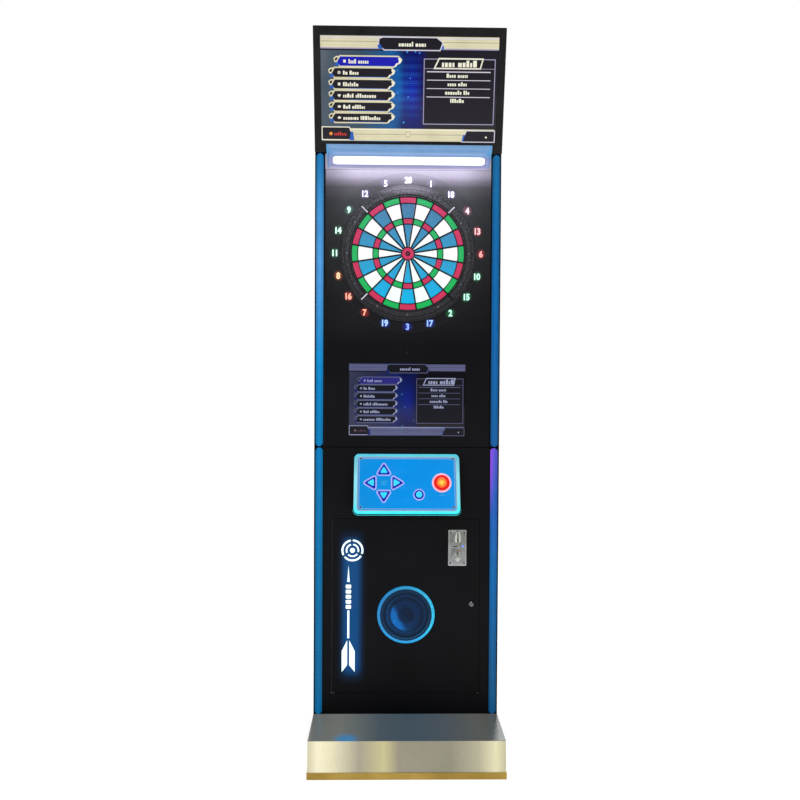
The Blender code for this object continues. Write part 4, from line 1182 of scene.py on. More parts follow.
def make_dial():
    """Smoked ring with lit numbers; the light spreads round each one."""
    smoke = Look("dial_acrylic", specular_ior_level=0.12)
    grain = smoke.noise(850, 3)
    radius, turn = polar(smoke)
    sector = smoke.calc('FRACT', smoke.calc('ADD', turn, 0.5 / SECTORS))
    stops = [(index / SECTORS, rgb(*halo)) for index, (_, halo, _) in enumerate(DIAL)]
    hue = smoke.ramp(sector, *stops, interpolation='CONSTANT')
    off = smoke.calc('SUBTRACT', smoke.calc('FRACT', smoke.times(sector, SECTORS)),
                     0.5)
    sideways = smoke.times(off, math.tau / SECTORS * DIAL_RADIUS / 1.18)
    outward = smoke.calc('SUBTRACT', radius, DIAL_RADIUS)
    away = smoke.hypotenuse(sideways, outward)
    near = smoke.remap(away, 0.007, 0.020, 1.0, 0.0, smooth=True)
    halo = smoke.scaled(hue, smoke.times(smoke.calc('POWER', near, 1.5), 0.58))
    spill = tube_light(smoke, grain, 0.86)
    smoke.set(base_color=smoke.ramp(grain, (0.3, COAT_DARK), (0.7, COAT_LIGHT)),
              roughness=smoke.remap(grain, 0.3, 0.7, 0.42, 0.56))
    smoke.bump(grain, 0.00008)
    smoke.glow(smoke.mix(1.0, spill, halo, 'ADD'))

    piece = Piece("number_dial", "target_door", "smoked_clear", ["number_ring"])
    outer = radius_of("number_ring")
    inner = radius_of("catch_ring") + 2 * GAP
    face = 0.0015
    piece.add(flat([circle(0, 0, outer, 120), circle(0, 0, inner, 120)], -0.0020, face,
                   0.0005), smoke, TARGET)
    for index, (number, _, colour) in enumerate(DIAL):
        angle = math.tau * index / SECTORS
        x = DIAL_RADIUS * math.sin(angle)
        y = DIAL_RADIUS * math.cos(angle)
        look = lit("digit_" + number, rgb(*colour), 1.05, 0.04, 90)
        piece.add(digits(number, 0.0215, face - 0.0002, face + 0.0006), look,
                  TARGET @ at(x, y))
    piece.finish()


def make_sensor_board():
    board = Look("sensor_board_laminate", specular_ior_level=0.5)
    weave = board.noise(40, 4)
    tracks = board.node("TexBrick", [board.stretched(38, 38, 38)])
    tracks.inputs["Color1"].default_value = rgb(16, 92, 48)
    tracks.inputs["Color2"].default_value = rgb(14, 82, 44)
    tracks.inputs["Mortar"].default_value = rgb(44, 132, 70)
    tracks.inputs["Mortar Size"].default_value = 0.03
    board.set(base_color=tracks.outputs["Color"],
              roughness=board.remap(weave, 0.3, 0.7, 0.30, 0.45))
    board.bump(tracks.outputs["Fac"], 0.0001, 0.5)
    dress(board, "sensor_board")

    chip = coated("board_chip", (22, 22, 24), (34, 34, 36), 0.4)
    header = coated("board_socket", (224, 220, 208), (236, 232, 222), 0.5)
    ribbon = Look("board_ribbon", roughness=0.5)
    ways = ribbon.wave(ribbon.along('X'), 0.00254)
    ribbon.set(base_color=ribbon.tones(ribbon.remap(ways, -1, 1), (0.0, 120, 122, 126),
                                       (1.0, 176, 178, 182)))
    ribbon.bump(ways, 0.0004)
    rear = facing_rear(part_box("sensor_board")[1].y, BULL.z)
    piece = Piece("sensor_board_parts", "target_door", "electronics")
    generator = random.Random(3)
    for row in range(6):
        for column in range(5):
            x = -0.20 + column * 0.10 + generator.uniform(-0.006, 0.006)
            y = -0.22 + row * 0.088
            wide = generator.choice((0.010, 0.014, 0.022))
            piece.add(pad(x, y, wide, 0.009, 0.0001, 0.0026, 0.0008, 0.0004), chip, rear)
    for x in (-0.10, 0.02):
        piece.add(pad(x, -0.255, 0.055, 0.010, 0.0001, 0.0080, 0.001, 0.0006), header, rear)
        piece.add(pad(x, -0.262, 0.046, 0.0024, 0.0030, 0.0300, 0, 0.0003), ribbon, rear)
    piece.finish()

    stud = brushed("board_studs", (190, 190, 192), (150, 150, 154), 'X')
    studs = Piece("sensor_board_screws", "target_door", "zinc")
    for x in (-1, 1):
        for y in (-1, 0, 1):
            add_screw(studs, stud, rear @ at(x * 0.262, y * 0.262), 0.0036, 0.0018)
    studs.finish()


def make_camera_lens():
    centre = middle("camera_lens")
    radius = radius_of("camera_lens")
    spot = facing_player(centre.x, centre.z)
    glass = Look("camera_glass", roughness=0.04, specular_ior_level=0.8)
    ring = glass.noise(900, 1)
    glass.set(base_color=glass.tones(ring, (0.3, 10, 12, 26), (0.7, 18, 20, 40)))
    rim = coated("camera_rim", (40, 40, 44), (60, 60, 66), 0.3, specular=0.5)
    piece = Piece("webcam_lens", "target_door", "camera_glass", ["camera_lens"])
    piece.add(turned([(0, 0.0008), (radius * 0.4, 0.0006), (radius * 0.62, 0.0),
                      (radius * 0.62, -0.005), (0, -0.005)], 32), glass, spot)
    piece.add(turned([(radius, 0.0004), (radius, -0.005), (radius * 0.64, -0.005),
                      (radius * 0.64, 0.0006), (radius * 0.80, 0.0012)], 32, ring=True), rim,
              spot)
    piece.finish()


# ------------------------------------------------------------------ control desk
CLUSTER = (-0.0802, 0.1122)     # middle of the four arrows
ARROW_APEX = 0.0655             # outermost point of an arrow, from the cluster's middle
ARROW_BASE = 0.0300
ARROW_HALF = 0.0205
ARROW_ROUNDING = 0.0030
SELECT = (0.0418, 0.0707, 0.0155)
START = (0.1210, 0.1130, 0.0270)
CAP_ROOT = -0.0150
PLATE_LOW = -0.0019
PLATE_FACE = 0.0006


def arrow_outline(turn, grow, shrink=0.0):
    """Rounded triangle pointing away from the cluster's middle; shrink draws it together."""
    rounding = ARROW_ROUNDING
    corners = [(ARROW_APEX - rounding, 0), (ARROW_BASE + rounding, ARROW_HALF - rounding),
               (ARROW_BASE + rounding, rounding - ARROW_HALF)]
    heart = (ARROW_APEX + 2 * ARROW_BASE) / 3
    points = []
    for index, (along, across) in enumerate(corners):
        along += (heart - along) * shrink
        across -= across * shrink
        start = -60 + 120 * index
        points += arc(along, across, rounding + grow, start, start + 120, 5)
    spin = Matrix.Rotation(turn, 2)
    return [tuple(spin @ Vector(point) + Vector(CLUSTER)) for point in points]


DESK_HALF = DESK_HIGH.x
DESK_LENGTH = (Vector((DESK_LOW.y, DESK_LOW.z))
               - Vector((DESK_LOW.y, DESK_HIGH.z))).length / abs(PRESS_AXIS[1])


def make_desk_frame():
    edge = Look("desk_edge_light", roughness=0.3, specular_ior_level=0.3)
    patch = edge.noise(30, 2)
    rise = edge.remap(edge.along('Z'), DESK_LOW.z, DESK_HIGH.z)
    cyan = edge.tones(rise, (0.0, 62, 246, 255), (0.10, 78, 234, 246), (0.22, 128, 222, 236),
                      (0.60, 136, 222, 236), (0.90, 100, 190, 208), (1.0, 70, 206, 226))
    edge.set(base_color=edge.scaled(cyan, 0.1))
    edge.bump(patch, 0.0001)
    edge.glow(edge.scaled(cyan, edge.remap(patch, 0.3, 0.7, 0.94, 1.06)))
    piece = Piece("desk_light_frame", "root", "edge_light", ["control_light_frame"])
    outer = rectangle(-DESK_HALF, 0, DESK_HALF, DESK_LENGTH, 0.020, 8)
    ledge = 0.0225
    window = rectangle(ledge - DESK_HALF, ledge, DESK_HALF - ledge, DESK_LENGTH - ledge, 0.005)
    piece.add(flat([outer, window], -0.0082, -0.0022, 0.0014), edge, DESK)
    piece.finish()


def make_desk_plate():
    border = 0.014
    screw_x = 0.1605
    blue = Look("desk_print", specular_ior_level=0.12)
    haze = blue.noise(9, 3)
    grain = blue.noise(1200, 2)
    climb = blue.remap(blue.along('X'), -DESK_HALF, DESK_HALF)
    colour = blue.tones(climb, (0.0, 6, 142, 222), (0.5, 2, 145, 232), (1.0, 12, 146, 230))
    colour = blue.scaled(colour, blue.remap(haze, 0.3, 0.7, 0.94, 1.04))
    blue.set(base_color=blue.scaled(colour, 0.12),
             roughness=blue.remap(grain, 0.3, 0.7, 0.28, 0.40))
    blue.bump(grain, 0.00004)
    # painted light: the printed plate is no lamp but glows in its own blue
    blue.glow(colour, 0.93)
    # painted sheen: the silver trim and washers glow
    silver = lit("desk_trim", rgb(150, 168, 180), 0.85, 0.16, 220)
    dark = coated("desk_screws", (16, 18, 30), (30, 32, 46), 0.35, specular=0.5)
    print_ink = coated("desk_print_lines", (74, 190, 240), (90, 200, 246), 0.4)

    piece = Piece("desk_plate", "root", "desk_blue", ["control_plate"])
    rim = rectangle(-DESK_HALF + border, border, DESK_HALF - border, DESK_LENGTH - border,
                    0.010, 6)
    trim = 0.0028
    holes = [arrow_outline(QUARTER * quarter, 0.0006) for quarter in range(4)]
    holes += [circle(x, y, radius + 0.0006, 48) for x, y, radius in (SELECT, START)]
    body = inset(rim, trim + 0.0001)
    piece.add(flat([body] + holes, PLATE_LOW, PLATE_FACE, 0.0002), blue, DESK)
    piece.add(flat([rim, inset(rim, trim)], PLATE_LOW, PLATE_FACE + 0.0006, 0.0005), silver,
              DESK)
    line = inset(rim, 0.0062)
    piece.add(flat([line, inset(line, 0.0016)], PLATE_FACE - 0.0001, PLATE_FACE + 0.0003,
                   0.0001), silver, DESK)
    for x in (-1, 1):
        for y in (0.0270, DESK_LENGTH - 0.0207):
            place = DESK @ at(x * screw_x, y, PLATE_FACE - 0.0001)
            add_screw(piece, dark, place, 0.0032)
            washer = [(0.0044, 0.0), (0.0034, 0.0), (0.0034, 0.0007), (0.0042, 0.0007)]
            piece.add(turned(washer, 24, ring=True), silver, place)
    for row in (-0.006, 0.0, 0.006):
        piece.add(pad(CLUSTER[0], CLUSTER[1] + row, 0.024, 0.0012, PLATE_FACE - 0.0001,
                      PLATE_FACE + 0.0001, 0.0005), print_ink, DESK)
    piece.add(pad(START[0], START[1] - 0.0435, 0.018, 0.0020, PLATE_FACE - 0.0001,
                  PLATE_FACE + 0.0001, 0.0009), print_ink, DESK)
    piece.finish()


def make_buttons():
    collar = lit("collar_clear", rgb(168, 170, 246), 0.80, 0.10, 120)
    warm_collar = lit("collar_warm", rgb(244, 176, 196), 0.85, 0.08, 120)
    navy = lit("cap_navy", rgb(8, 22, 168), 0.75, 0.12, 150)
    cyan = lit("cap_cyan", rgb(48, 204, 255), 0.95, 0.06, 150)
    red = lit("cap_red", rgb(226, 20, 16), 0.80, 0.10, 120)
    for look in (navy, cyan, red, collar, warm_collar):
        look.set(roughness=0.16, specular_ior_level=0.6)

    piece = Piece("button_collars", "root", "edge_light")
    low = PLATE_FACE + 0.0001
    for quarter in range(4):
        rings = [arrow_outline(QUARTER * quarter, 0.0053),
                 arrow_outline(QUARTER * quarter, 0.0008)]
        piece.add(flat(rings, low, 0.0032, 0.0009), collar, DESK)
    for (x, y, radius), look, reach in ((SELECT, collar, 0.0202), (START, warm_collar, 0.0340)):
        inner = radius + 0.0008
        section = [(reach, low), (inner, low), (inner, 0.0036), (inner + 0.0010, 0.0042),
                   (reach - 0.0016, 0.0034), (reach, 0.0016)]
        piece.add(turned(section, 48, ring=True), look, DESK @ at(x, y))
    piece.finish()

    for quarter, name in enumerate(("right", "up", "left", "down")):
        turn = QUARTER * quarter
        cap = Piece(f"arrow_cap_{name}", f"button_{name}", "cap_blue", [f"button_{name}"])
        cap.add(flat([arrow_outline(turn, 0)], CAP_ROOT, 0.0050, 0.0012), navy, DESK)
        cap.add(flat([arrow_outline(turn, 0.0004, 0.52)], 0.0049, 0.0060, 0.0005), cyan, DESK)
        cap.finish()

    heart = Look("cap_amber", roughness=0.15, specular_ior_level=0.6)
    place = DESK @ Vector((START[0], START[1], 0.008))
    split = heart.node("VectorMath", [heart.place(), tuple(place)], operation='DISTANCE')
    spread = heart.remap(split.outputs["Value"], 0.0, START[2])
    speckle = heart.noise(260, 3)
    warm = heart.tones(heart.calc('ADD', spread, heart.remap(speckle, 0.3, 0.7, -0.10, 0.10)),
                       (0.0, 255, 216, 92), (0.38, 255, 148, 48), (0.66, 240, 52, 22),
                       (0.85, 206, 10, 12), (1.0, 190, 6, 14))
    heart.set(base_color=heart.scaled(warm, 0.35))
    heart.bump(speckle, 0.00008)
    heart.glow(warm, 0.95)
    for name, body, (x, y, radius), rim, dome, slot in (
            ("select_cap", "select_button", SELECT, navy, cyan, "cap_blue"),
            ("start_cap", "start_button", START, red, heart, "cap_red")):
        cap = Piece(name, body, slot, [body])
        cap.add(turned([(radius, 0.0046), (radius, CAP_ROOT), (0, CAP_ROOT), (0, 0.0055),
                        (radius * 0.72, 0.0060), (radius - 0.0016, 0.0060)], 48), rim,
                DESK @ at(x, y))
        crown = [(0, 0.0080)]
        crown += [(radius * 0.70 * math.sin(math.radians(a)),
                   0.0058 + 0.0022 * math.cos(math.radians(a))) for a in (30, 55, 75, 90)]
        crown += [(0, 0.0056)]
        cap.add(turned(crown, 48), dome, DESK @ at(x, y))
        cap.finish()


# ------------------------------------------------------------------ service door
SPEAKER_AXIS = middle("speaker_light_ring")
SPEAKER = facing_player(SPEAKER_AXIS.x, SPEAKER_AXIS.z)
GRILLE_RADIUS = 0.0895


def from_speaker(look):
    """Distances across and up from the speaker's axis."""
    return look.off('X', SPEAKER_AXIS.x), look.off('Z', SPEAKER_AXIS.z)


def make_speaker_halo():
    ring_radius = radius_of("speaker_light_ring")
    rim_low = 0.0003
    hole = 0.0850
    glow = Look("speaker_ring_light", roughness=0.4)
    beads = glow.noise(130, 4)
    across, up = from_speaker(glow)
    around = glow.turn_of(up, across)
    hue = glow.tones(around, (0.0, 34, 196, 240), (0.10, 44, 186, 232), (0.25, 30, 150, 206),
                     (0.42, 14, 132, 200), (0.55, 14, 142, 212), (0.68, 8, 156, 228),
                     (0.80, 12, 170, 240), (0.92, 36, 200, 244), (1.0, 34, 196, 240))
    glow.set(base_color=glow.scaled(hue, 0.1))
    glow.bump(beads, 0.0003)
    glow.glow(glow.scaled(hue, glow.remap(beads, 0.3, 0.7, 0.62, 1.12)))
    lamp = Piece("speaker_halo", "service_door", "edge_light", ["speaker_light_ring"])
    section = [(ring_radius, 0.0012), (ring_radius, rim_low), (hole, rim_low),
               (hole, 0.0026), (hole + 0.0020, 0.0040), (ring_radius - 0.0060, 0.0043),
               (ring_radius - 0.0015, 0.0034)]
    lamp.add(turned(section, 96, ring=True), glow, SPEAKER)
    lamp.finish()


def grille_look():
    """Perforated steel over a dim cone; the cone's rings and a blue crescent are painted light on
    it.
    """
    steel = Look("grille_steel", roughness=0.5, specular_ior_level=0.15)
    grime = steel.noise(170, 4)
    across, up = from_speaker(steel)
    reach = steel.hypotenuse(across, up)
    # painted light: rings of the lit cone, painted as a glow on the grille
    bands = steel.tones(steel.remap(reach, 0.0, GRILLE_RADIUS), (0.0, 7, 26, 50),
                        (0.26, 8, 30, 58), (0.40, 10, 44, 86), (0.58, 9, 42, 80),
                        (0.66, 6, 22, 44), (0.76, 12, 52, 90), (0.84, 6, 24, 46),
                        (0.95, 12, 58, 96))
    wave = steel.wave(reach, 0.0062)
    bands = steel.scaled(bands, steel.remap(wave, -1, 1, 0.70, 1.25))
    # painted light: the ring lamp's blue crescent on the lower left
    lower_left = steel.remap(steel.calc('ADD', steel.calc('ADD', across, across), up),
                             -0.035, -0.085, 0.0, 1.0, smooth=True)
    belt = steel.times(steel.remap(reach, 0.022, 0.034, smooth=True),
                       steel.remap(reach, 0.052, 0.056, 1.0, 0.0, smooth=True))
    bands = steel.mix(steel.times(lower_left, belt), bands, rgb(16, 112, 196))
    steel.set(base_color=steel.tones(grime, (0.3, 6, 12, 20), (0.7, 10, 20, 34)))
    steel.bump(grime, 0.0001)
    steel.glow(steel.scaled(bands, steel.remap(grime, 0.3, 0.7, 0.7, 1.25)))
    return steel


def make_grille():
    disc = GRILLE_RADIUS
    holes = [circle(0, 0, 0.0014, 8)]
    for row in range(1, 17):
        reach = row * 0.0052
        count = round(math.tau * reach / 0.0056)
        for index in range(count):
            angle = math.tau * (index + 0.5 * (row % 2)) / count
            holes.append(circle(reach * math.cos(angle), reach * math.sin(angle), 0.0017, 6))
    net = flat([circle(0, 0, disc, 96)] + holes, 0.0, 0.0009)
    for vert in net.verts:
        share = math.hypot(vert.co.x, vert.co.y) / disc
        vert.co.z += 0.0046 + 0.0020 * (1 - share * share)
    grille = Piece("speaker_grille_mesh", "service_door", "grille_black", ["speaker_grille"])
    grille.add(net, grille_look(), SPEAKER)
    band = coated("grille_band", (14, 22, 34), (22, 32, 48), 0.4)
    grille.add(turned([(disc + 0.0016, 0.0040), (disc + 0.0016, 0.0060), (disc + 0.0006, 0.0068),
                       (disc - 0.0014, 0.0068), (disc - 0.0020, 0.0060),
                       (disc - 0.0020, 0.0046), (disc - 0.0010, 0.0040)], 96, ring=True), band,
               SPEAKER)
    grille.finish()


def make_driver():
    paper = Look("cone_paper", roughness=0.8, specular_ior_level=0.1)
    fibre = paper.noise(240, 4)
    # painted light: the ring lamp's blue light on the cone's lower left, painted as a glow
    ring_light_reach = paper.remap(paper.calc('ADD', *from_speaker(paper)), -0.075, 0.01, 1.0, 0.0,
                       smooth=True)
    painted_ring_light = paper.mix(ring_light_reach, rgb(6, 24, 50), rgb(14, 110, 200))
    paper.set(base_color=paper.tones(fibre, (0.3, 16, 18, 24), (0.7, 28, 32, 40)))
    paper.bump(fibre, 0.0002)
    paper.glow(paper.scaled(painted_ring_light, paper.remap(fibre, 0.3, 0.7, 0.75, 1.10)), 0.5)
    foam = coated("cone_surround", (14, 16, 22), (24, 26, 34), 0.6, 700)
    basket = coated("speaker_basket", (50, 50, 54), (66, 66, 70), 0.4, specular=0.5)
    magnet = brushed("speaker_magnet", (120, 120, 124), (90, 90, 96), 'Y', 0.4)
    sheet = -0.0023
    cone = [(0, -0.0200), (0.010, -0.0208), (0.018, -0.0250), (0.0195, -0.0300),
            (0.030, -0.0270), (0.050, -0.0185), (0.071, -0.0095), (0.071, -0.0110),
            (0.050, -0.0200), (0.030, -0.0290), (0.018, -0.0330), (0, -0.0330)]
    roll = [(0.0712, -0.0105)]
    roll += [(0.0775 - 0.0062 * math.cos(math.radians(a)), -0.0085 + 0.0055
              * math.sin(math.radians(a))) for a in range(15, 180, 25)]
    roll += [(0.0840, -0.0105), (0.0775, -0.0112)]
    frame_section = [(0.0845, sheet - 0.0030), (0.0900, sheet), (0.1030, sheet),
                     (0.1030, sheet - 0.0045), (0.0930, sheet - 0.0055), (0.0620, -0.0450),
                     (0.0400, -0.0500), (0.0400, -0.0480), (0.0600, -0.0430),
                     (0.0880, sheet - 0.0075), (0.0845, -0.0110)]
    driver = Piece("speaker_unit", "service_door", "grille_black", ["speaker_driver"])
    driver.add(turned(cone, 64), paper, SPEAKER)
    driver.add(turned(roll, 64, ring=True), foam, SPEAKER)
    driver.add(turned(frame_section, 64, ring=True), basket, SPEAKER)
    driver.add(turned([(0, -0.0500), (0.0560, -0.0500), (0.0590, -0.0520), (0.0590, -0.0660),
                       (0.0565, -0.0680), (0.0150, -0.0680), (0.0130, -0.0665), (0, -0.0665)],
                      64), magnet, SPEAKER)
    for side in (-1, 1):
        terminal = SPEAKER @ at(side * 0.010, -0.064, -0.0460)
        driver.add(block((-0.003, -0.004, -0.001), (0.003, 0.006, 0.001), 0.0004), magnet,
                   terminal)
    driver.finish()


def key_outline(cx, cy, grow):
    """Arrow-shaped coin-return key pointing down; grow moves every side outwards."""
    stem = 0.0045 + grow
    top = cy + 0.0240 + grow
    shoulder = cy + 0.0030 + grow
    head = 0.0130 + 2.0 * grow
    tip = cy - 0.0140 - 1.65 * grow
    return [(cx - head, shoulder), (cx, tip), (cx + head, shoulder), (cx + stem, shoulder),
            (cx + stem, top), (cx - stem, top), (cx - stem, shoulder)]


COIN_LOW, COIN_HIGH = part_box("coin_faceplate")
COIN_X = (COIN_LOW.x + COIN_HIGH.x) / 2
COIN_Z = (COIN_LOW.z + COIN_HIGH.z) / 2
COIN_SLOT_X = COIN_X + 0.0016
RETURN_KEY = (COIN_SLOT_X - 0.001, COIN_Z - 0.0365)


def coin_zinc():
    """Worn zinc casting, lighter at its top and bottom edges, with a faint painted glow."""
    cast = Look("coin_plate_zinc", metallic=0.85)
    grain = cast.noise(520, 4)
    worn = cast.noise(38, 4)
    up = cast.remap(cast.along('Z'), COIN_LOW.z, COIN_HIGH.z)
    tone = cast.tones(up, (0.0, 200, 198, 204), (0.12, 160, 162, 164), (0.5, 160, 163, 162),
                      (0.68, 132, 136, 132), (0.92, 134, 138, 134), (1.0, 200, 200, 200))
    cast.set(base_color=cast.scaled(tone, cast.remap(worn, 0.3, 0.7, 0.62, 0.98)),
             roughness=cast.remap(grain, 0.3, 0.7, 0.30, 0.46))
    cast.bump(grain, 0.0002)
    # painted light: the zinc is no lamp but glows faintly in its own tones
    return cast.glow(cast.scaled(tone, 0.10))


def make_coin_parts():
    bright = brushed("coin_boss_zinc", (214, 216, 208), (180, 184, 174), 'Z', 0.22)
    # painted shade: dark fillings stand for the shade inside slots and openings
    slot_shade = coated("coin_slot_dark", (6, 6, 7), (12, 12, 14), 0.7)
    make_coin_plate(bright, slot_shade)
    button = Piece("coin_return_key", "reject_button", "zinc", ["reject_button"])
    button.add(flat([key_outline(*RETURN_KEY, 0)], -0.0019, 0.0062, 0.0008), bright, FRONTAL)
    # painted shade: a dark strip stands for the key's slot
    button.add(pad(RETURN_KEY[0], COIN_Z - 0.0225, 0.0014, 0.0200, 0.0060, 0.0066, 0.0005,
                   0.0002), slot_shade, FRONTAL)
    button.finish()


def make_coin_plate(bright, slot_shade):
    cx, cy, slot_x = COIN_X, COIN_Z, COIN_SLOT_X
    face = 0.0033
    screw = brushed("coin_plate_screws", (120, 120, 124), (84, 84, 90), 'X')
    plate = Piece("coin_entry_plate", "service_door", "zinc", ["coin_faceplate"])
    outer = centred(cx, cy, COIN_HIGH.x - COIN_LOW.x, COIN_HIGH.z - COIN_LOW.z, 0.005)
    slot = centred(slot_x, cy + 0.0365, 0.0032, 0.0340)
    boss_round = arc(slot_x, cy + 0.0290, 0.0120, 180, 360, 10)
    boss = boss_round + [(slot_x + 0.0100, cy + 0.0480), (slot_x + 0.0060, cy + 0.0600),
                         (slot_x - 0.0060, cy + 0.0600), (slot_x - 0.0100, cy + 0.0480)]
    key = key_outline(*RETURN_KEY, 0.0005)
    window = (cx - 0.0075, cy + 0.0040)
    bar = centred(*window, 0.0200, 0.0034, 0.0010)
    plate.add(flat([outer, slot, key, bar], 0.0003, face, 0.0006), coin_zinc(), FRONTAL)
    plate.add(flat([boss, slot], face - 0.0002, 0.0074, 0.0016), bright, FRONTAL)
    rim = inset(outer, 0.0024)
    plate.add(flat([rim, inset(rim, 0.0012)], face - 0.0002, face + 0.0005, 0.0003), bright,
              FRONTAL)
    plate.add(flat([centred(*window, 0.0240, 0.0074, 0.0025), bar], face - 0.0002,
                   face + 0.0009, 0.0004), bright, FRONTAL)
    # painted shade: a dark sheet fills the window's recess
    plate.add(pad(*window, 0.0204, 0.0038, 0.0004, 0.0010), slot_shade, FRONTAL)
    ring_key = key_outline(*RETURN_KEY, 0.0022)
    plate.add(flat([ring_key, key], face - 0.0002, face + 0.0010, 0.0004), bright, FRONTAL)
    corner_screws(plate, screw, FRONTAL @ at(cx, cy, face - 0.0002), (0.0245, 0.0545), 0.0032,
                  0.0016, 20)
    lamp = lit("coin_lamp", rgb(80, 130, 255), 1.3, 0.06, 200)
    place = FRONTAL @ at(cx + 0.0195, cy + 0.0060, face - 0.0001)
    plate.add(turned([(0, 0.0026), (0.0020, 0.0022), (0.0033, 0.0012), (0.0036, 0), (0, 0)],
                     24), lamp, place)
    plate.add(turned([(0.0052, 0), (0.0037, 0), (0.0037, 0.0012), (0.0046, 0.0012)], 24,
                     ring=True), bright, place)
    arrow = [(cx + 0.012, cy - 0.014), (cx - 0.004, cy - 0.0075), (cx - 0.002, cy - 0.0060),
             (cx + 0.014, cy - 0.0125)]
    accent = coated("coin_plate_mark", (150, 70, 60), (180, 90, 76), 0.5)
    plate.add(flat([arrow], face - 0.0001, face + 0.0001), accent, FRONTAL)
    plate.finish()


def make_coin_selector():
    case = coated("coin_mech_plastic", (24, 24, 28), (38, 38, 42), 0.45)
    metal = brushed("coin_mech_steel", (170, 170, 168), (130, 130, 132), 'Y', 0.3)
    copper = brushed("coin_mech_coil", (190, 110, 60), (150, 84, 44), 'Z', 0.3)
    low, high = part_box("coin_mechanism")
    body = Piece("coin_selector", "service_door", "electronics", ["coin_mechanism"])
    side = 0.0100
    half_slot = 0.0026
    for left, right in ((low.x, low.x + side), (high.x - side, high.x)):
        body.add(block((left, low.y, low.z), (right, high.y, high.z), 0.0015), case)
    for left, right in ((low.x + side + 0.0002, COIN_SLOT_X - half_slot),
                        (COIN_SLOT_X + half_slot, high.x - side - 0.0002)):
        body.add(block((left, low.y + 0.006, low.z + 0.004),
                       (right, high.y - 0.004, high.z - 0.003), 0.0008), metal)
    coil = at(low.x + 0.0005, high.y - 0.020, low.z + 0.030) @ about('Y', -90)
    body.add(turned([(0.0085, -0.0004), (0.0085, 0.0080), (0, 0.0080), (0, -0.0004)], 32),
             copper, coil)
    for z in (0.2, 0.8):
        for y in (0.25, 0.75):
            spot = at(low.x + 0.0001, low.y + y * (high.y - low.y),
                      low.z + z * (high.z - low.z))
            add_screw(body, metal, spot @ about('Y', -90), 0.0026, 0.0012)
    body.finish()


def make_lock():
    centre = middle("lock_plug")
    spot = facing_player(centre.x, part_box("lock_barrel")[0].z + radius_of("lock_barrel"))
    chrome = brushed("lock_chrome", (156, 155, 160), (112, 112, 118), 'Z', 0.2)
    dark = coated("lock_keyway", (8, 8, 9), (14, 14, 15), 0.6)
    radius = radius_of("lock_barrel")
    bore = 0.0056
    barrel = Piece("lock_body", "service_door", "zinc", ["lock_barrel"])
    barrel.add(turned([(radius, 0.0016), (radius, GAP), (0.0080, GAP), (0.0080, -0.0190),
                       (bore, -0.0190), (bore, 0.0030), (bore + 0.0008, 0.0040),
                       (radius - 0.0024, 0.0045), (radius - 0.0008, 0.0034)], 48, ring=True),
               chrome, spot)
    nut = [(0.0125 * math.cos(math.radians(a)), 0.0125 * math.sin(math.radians(a)))
           for a in range(0, 360, 60)]
    barrel.add(flat([nut, circle(0, 0, 0.0081, 32)], -0.0062, -0.0024, 0.0004), chrome, spot)
    barrel.finish()
    plug = Piece("lock_core", "lock_plug", "zinc", ["lock_plug"])
    keyway = centred(0, 0, 0.0016, 0.0072, 0.0004)
    core = 0.0053
    plug.add(flat([circle(0, 0, core, 40), keyway], -0.0100, 0.0040, 0.0004), chrome, spot)
    plug.add(turned([(0, -0.0099), (core, -0.0099), (core, -0.0235), (0, -0.0235)], 32),
             chrome, spot)
    # painted shade: a dark filling stands for the shade inside the keyway
    plug.add(flat([keyway], -0.0098, 0.0002), dark, spot)
    cam = [(0.0060, 0.0030)] + arc(0, 0, 0.0067, 27, 153, 6) + [(-0.0060, 0.0030)]
    cam += arc(0, -0.0255, 0.0060, 180, 360, 8)
    plug.add(flat([cam], -0.0225, -0.0202, 0.0004), chrome, spot)
    plug.add(turned([(0, -0.0224), (0.0032, -0.0224), (0.0032, -0.0250), (0, -0.0256)], 24),
             chrome, spot)
    plug.finish()


def dress_sign():
    low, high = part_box("sign_lens")
    look = Look("sign_opal", roughness=0.35)
    z = look.remap(look.along('Z'), low.z, high.z)
    patch = look.remap(look.noise(40, 2), 0.3, 0.7, 0.97, 1.03)
    hue = look.tones(z, (0.0, 226, 255, 255), (0.5, 240, 255, 255), (1.0, 226, 252, 255))
    look.set(base_color=look.scaled(hue, 0.5))
    look.bump(look.noise(900, 2), 0.00003)
    look.glow(look.scaled(hue, patch), 1.15)
    dress(look, "sign_lens")

    glow = lit("sign_edge_light", rgb(40, 190, 236), 0.75, 0.10)
    plate = Piece("sign_lamp_cover", "service_door", "sign_white")
    rear = FRONTAL @ about('Y', 180)
    depth = high.y - PANEL_Y
    outline = rectangle(-high.x - 0.006, low.z - 0.006, -low.x + 0.006, high.z + 0.006, 0.004)
    case = coated("sign_lamp_case", (214, 216, 220), (228, 230, 234), 0.45, specular=0.4)
    plate.add(flat([outline], depth + 0.0003, depth + 0.0140, 0.0015), case, rear)
    plate.add(pad((-high.x - low.x) / 2, low.z + 0.02, 0.018, 0.010, depth + 0.0138,
                  depth + 0.0200, 0.001, 0.0006), glow, rear)
    plate.finish()


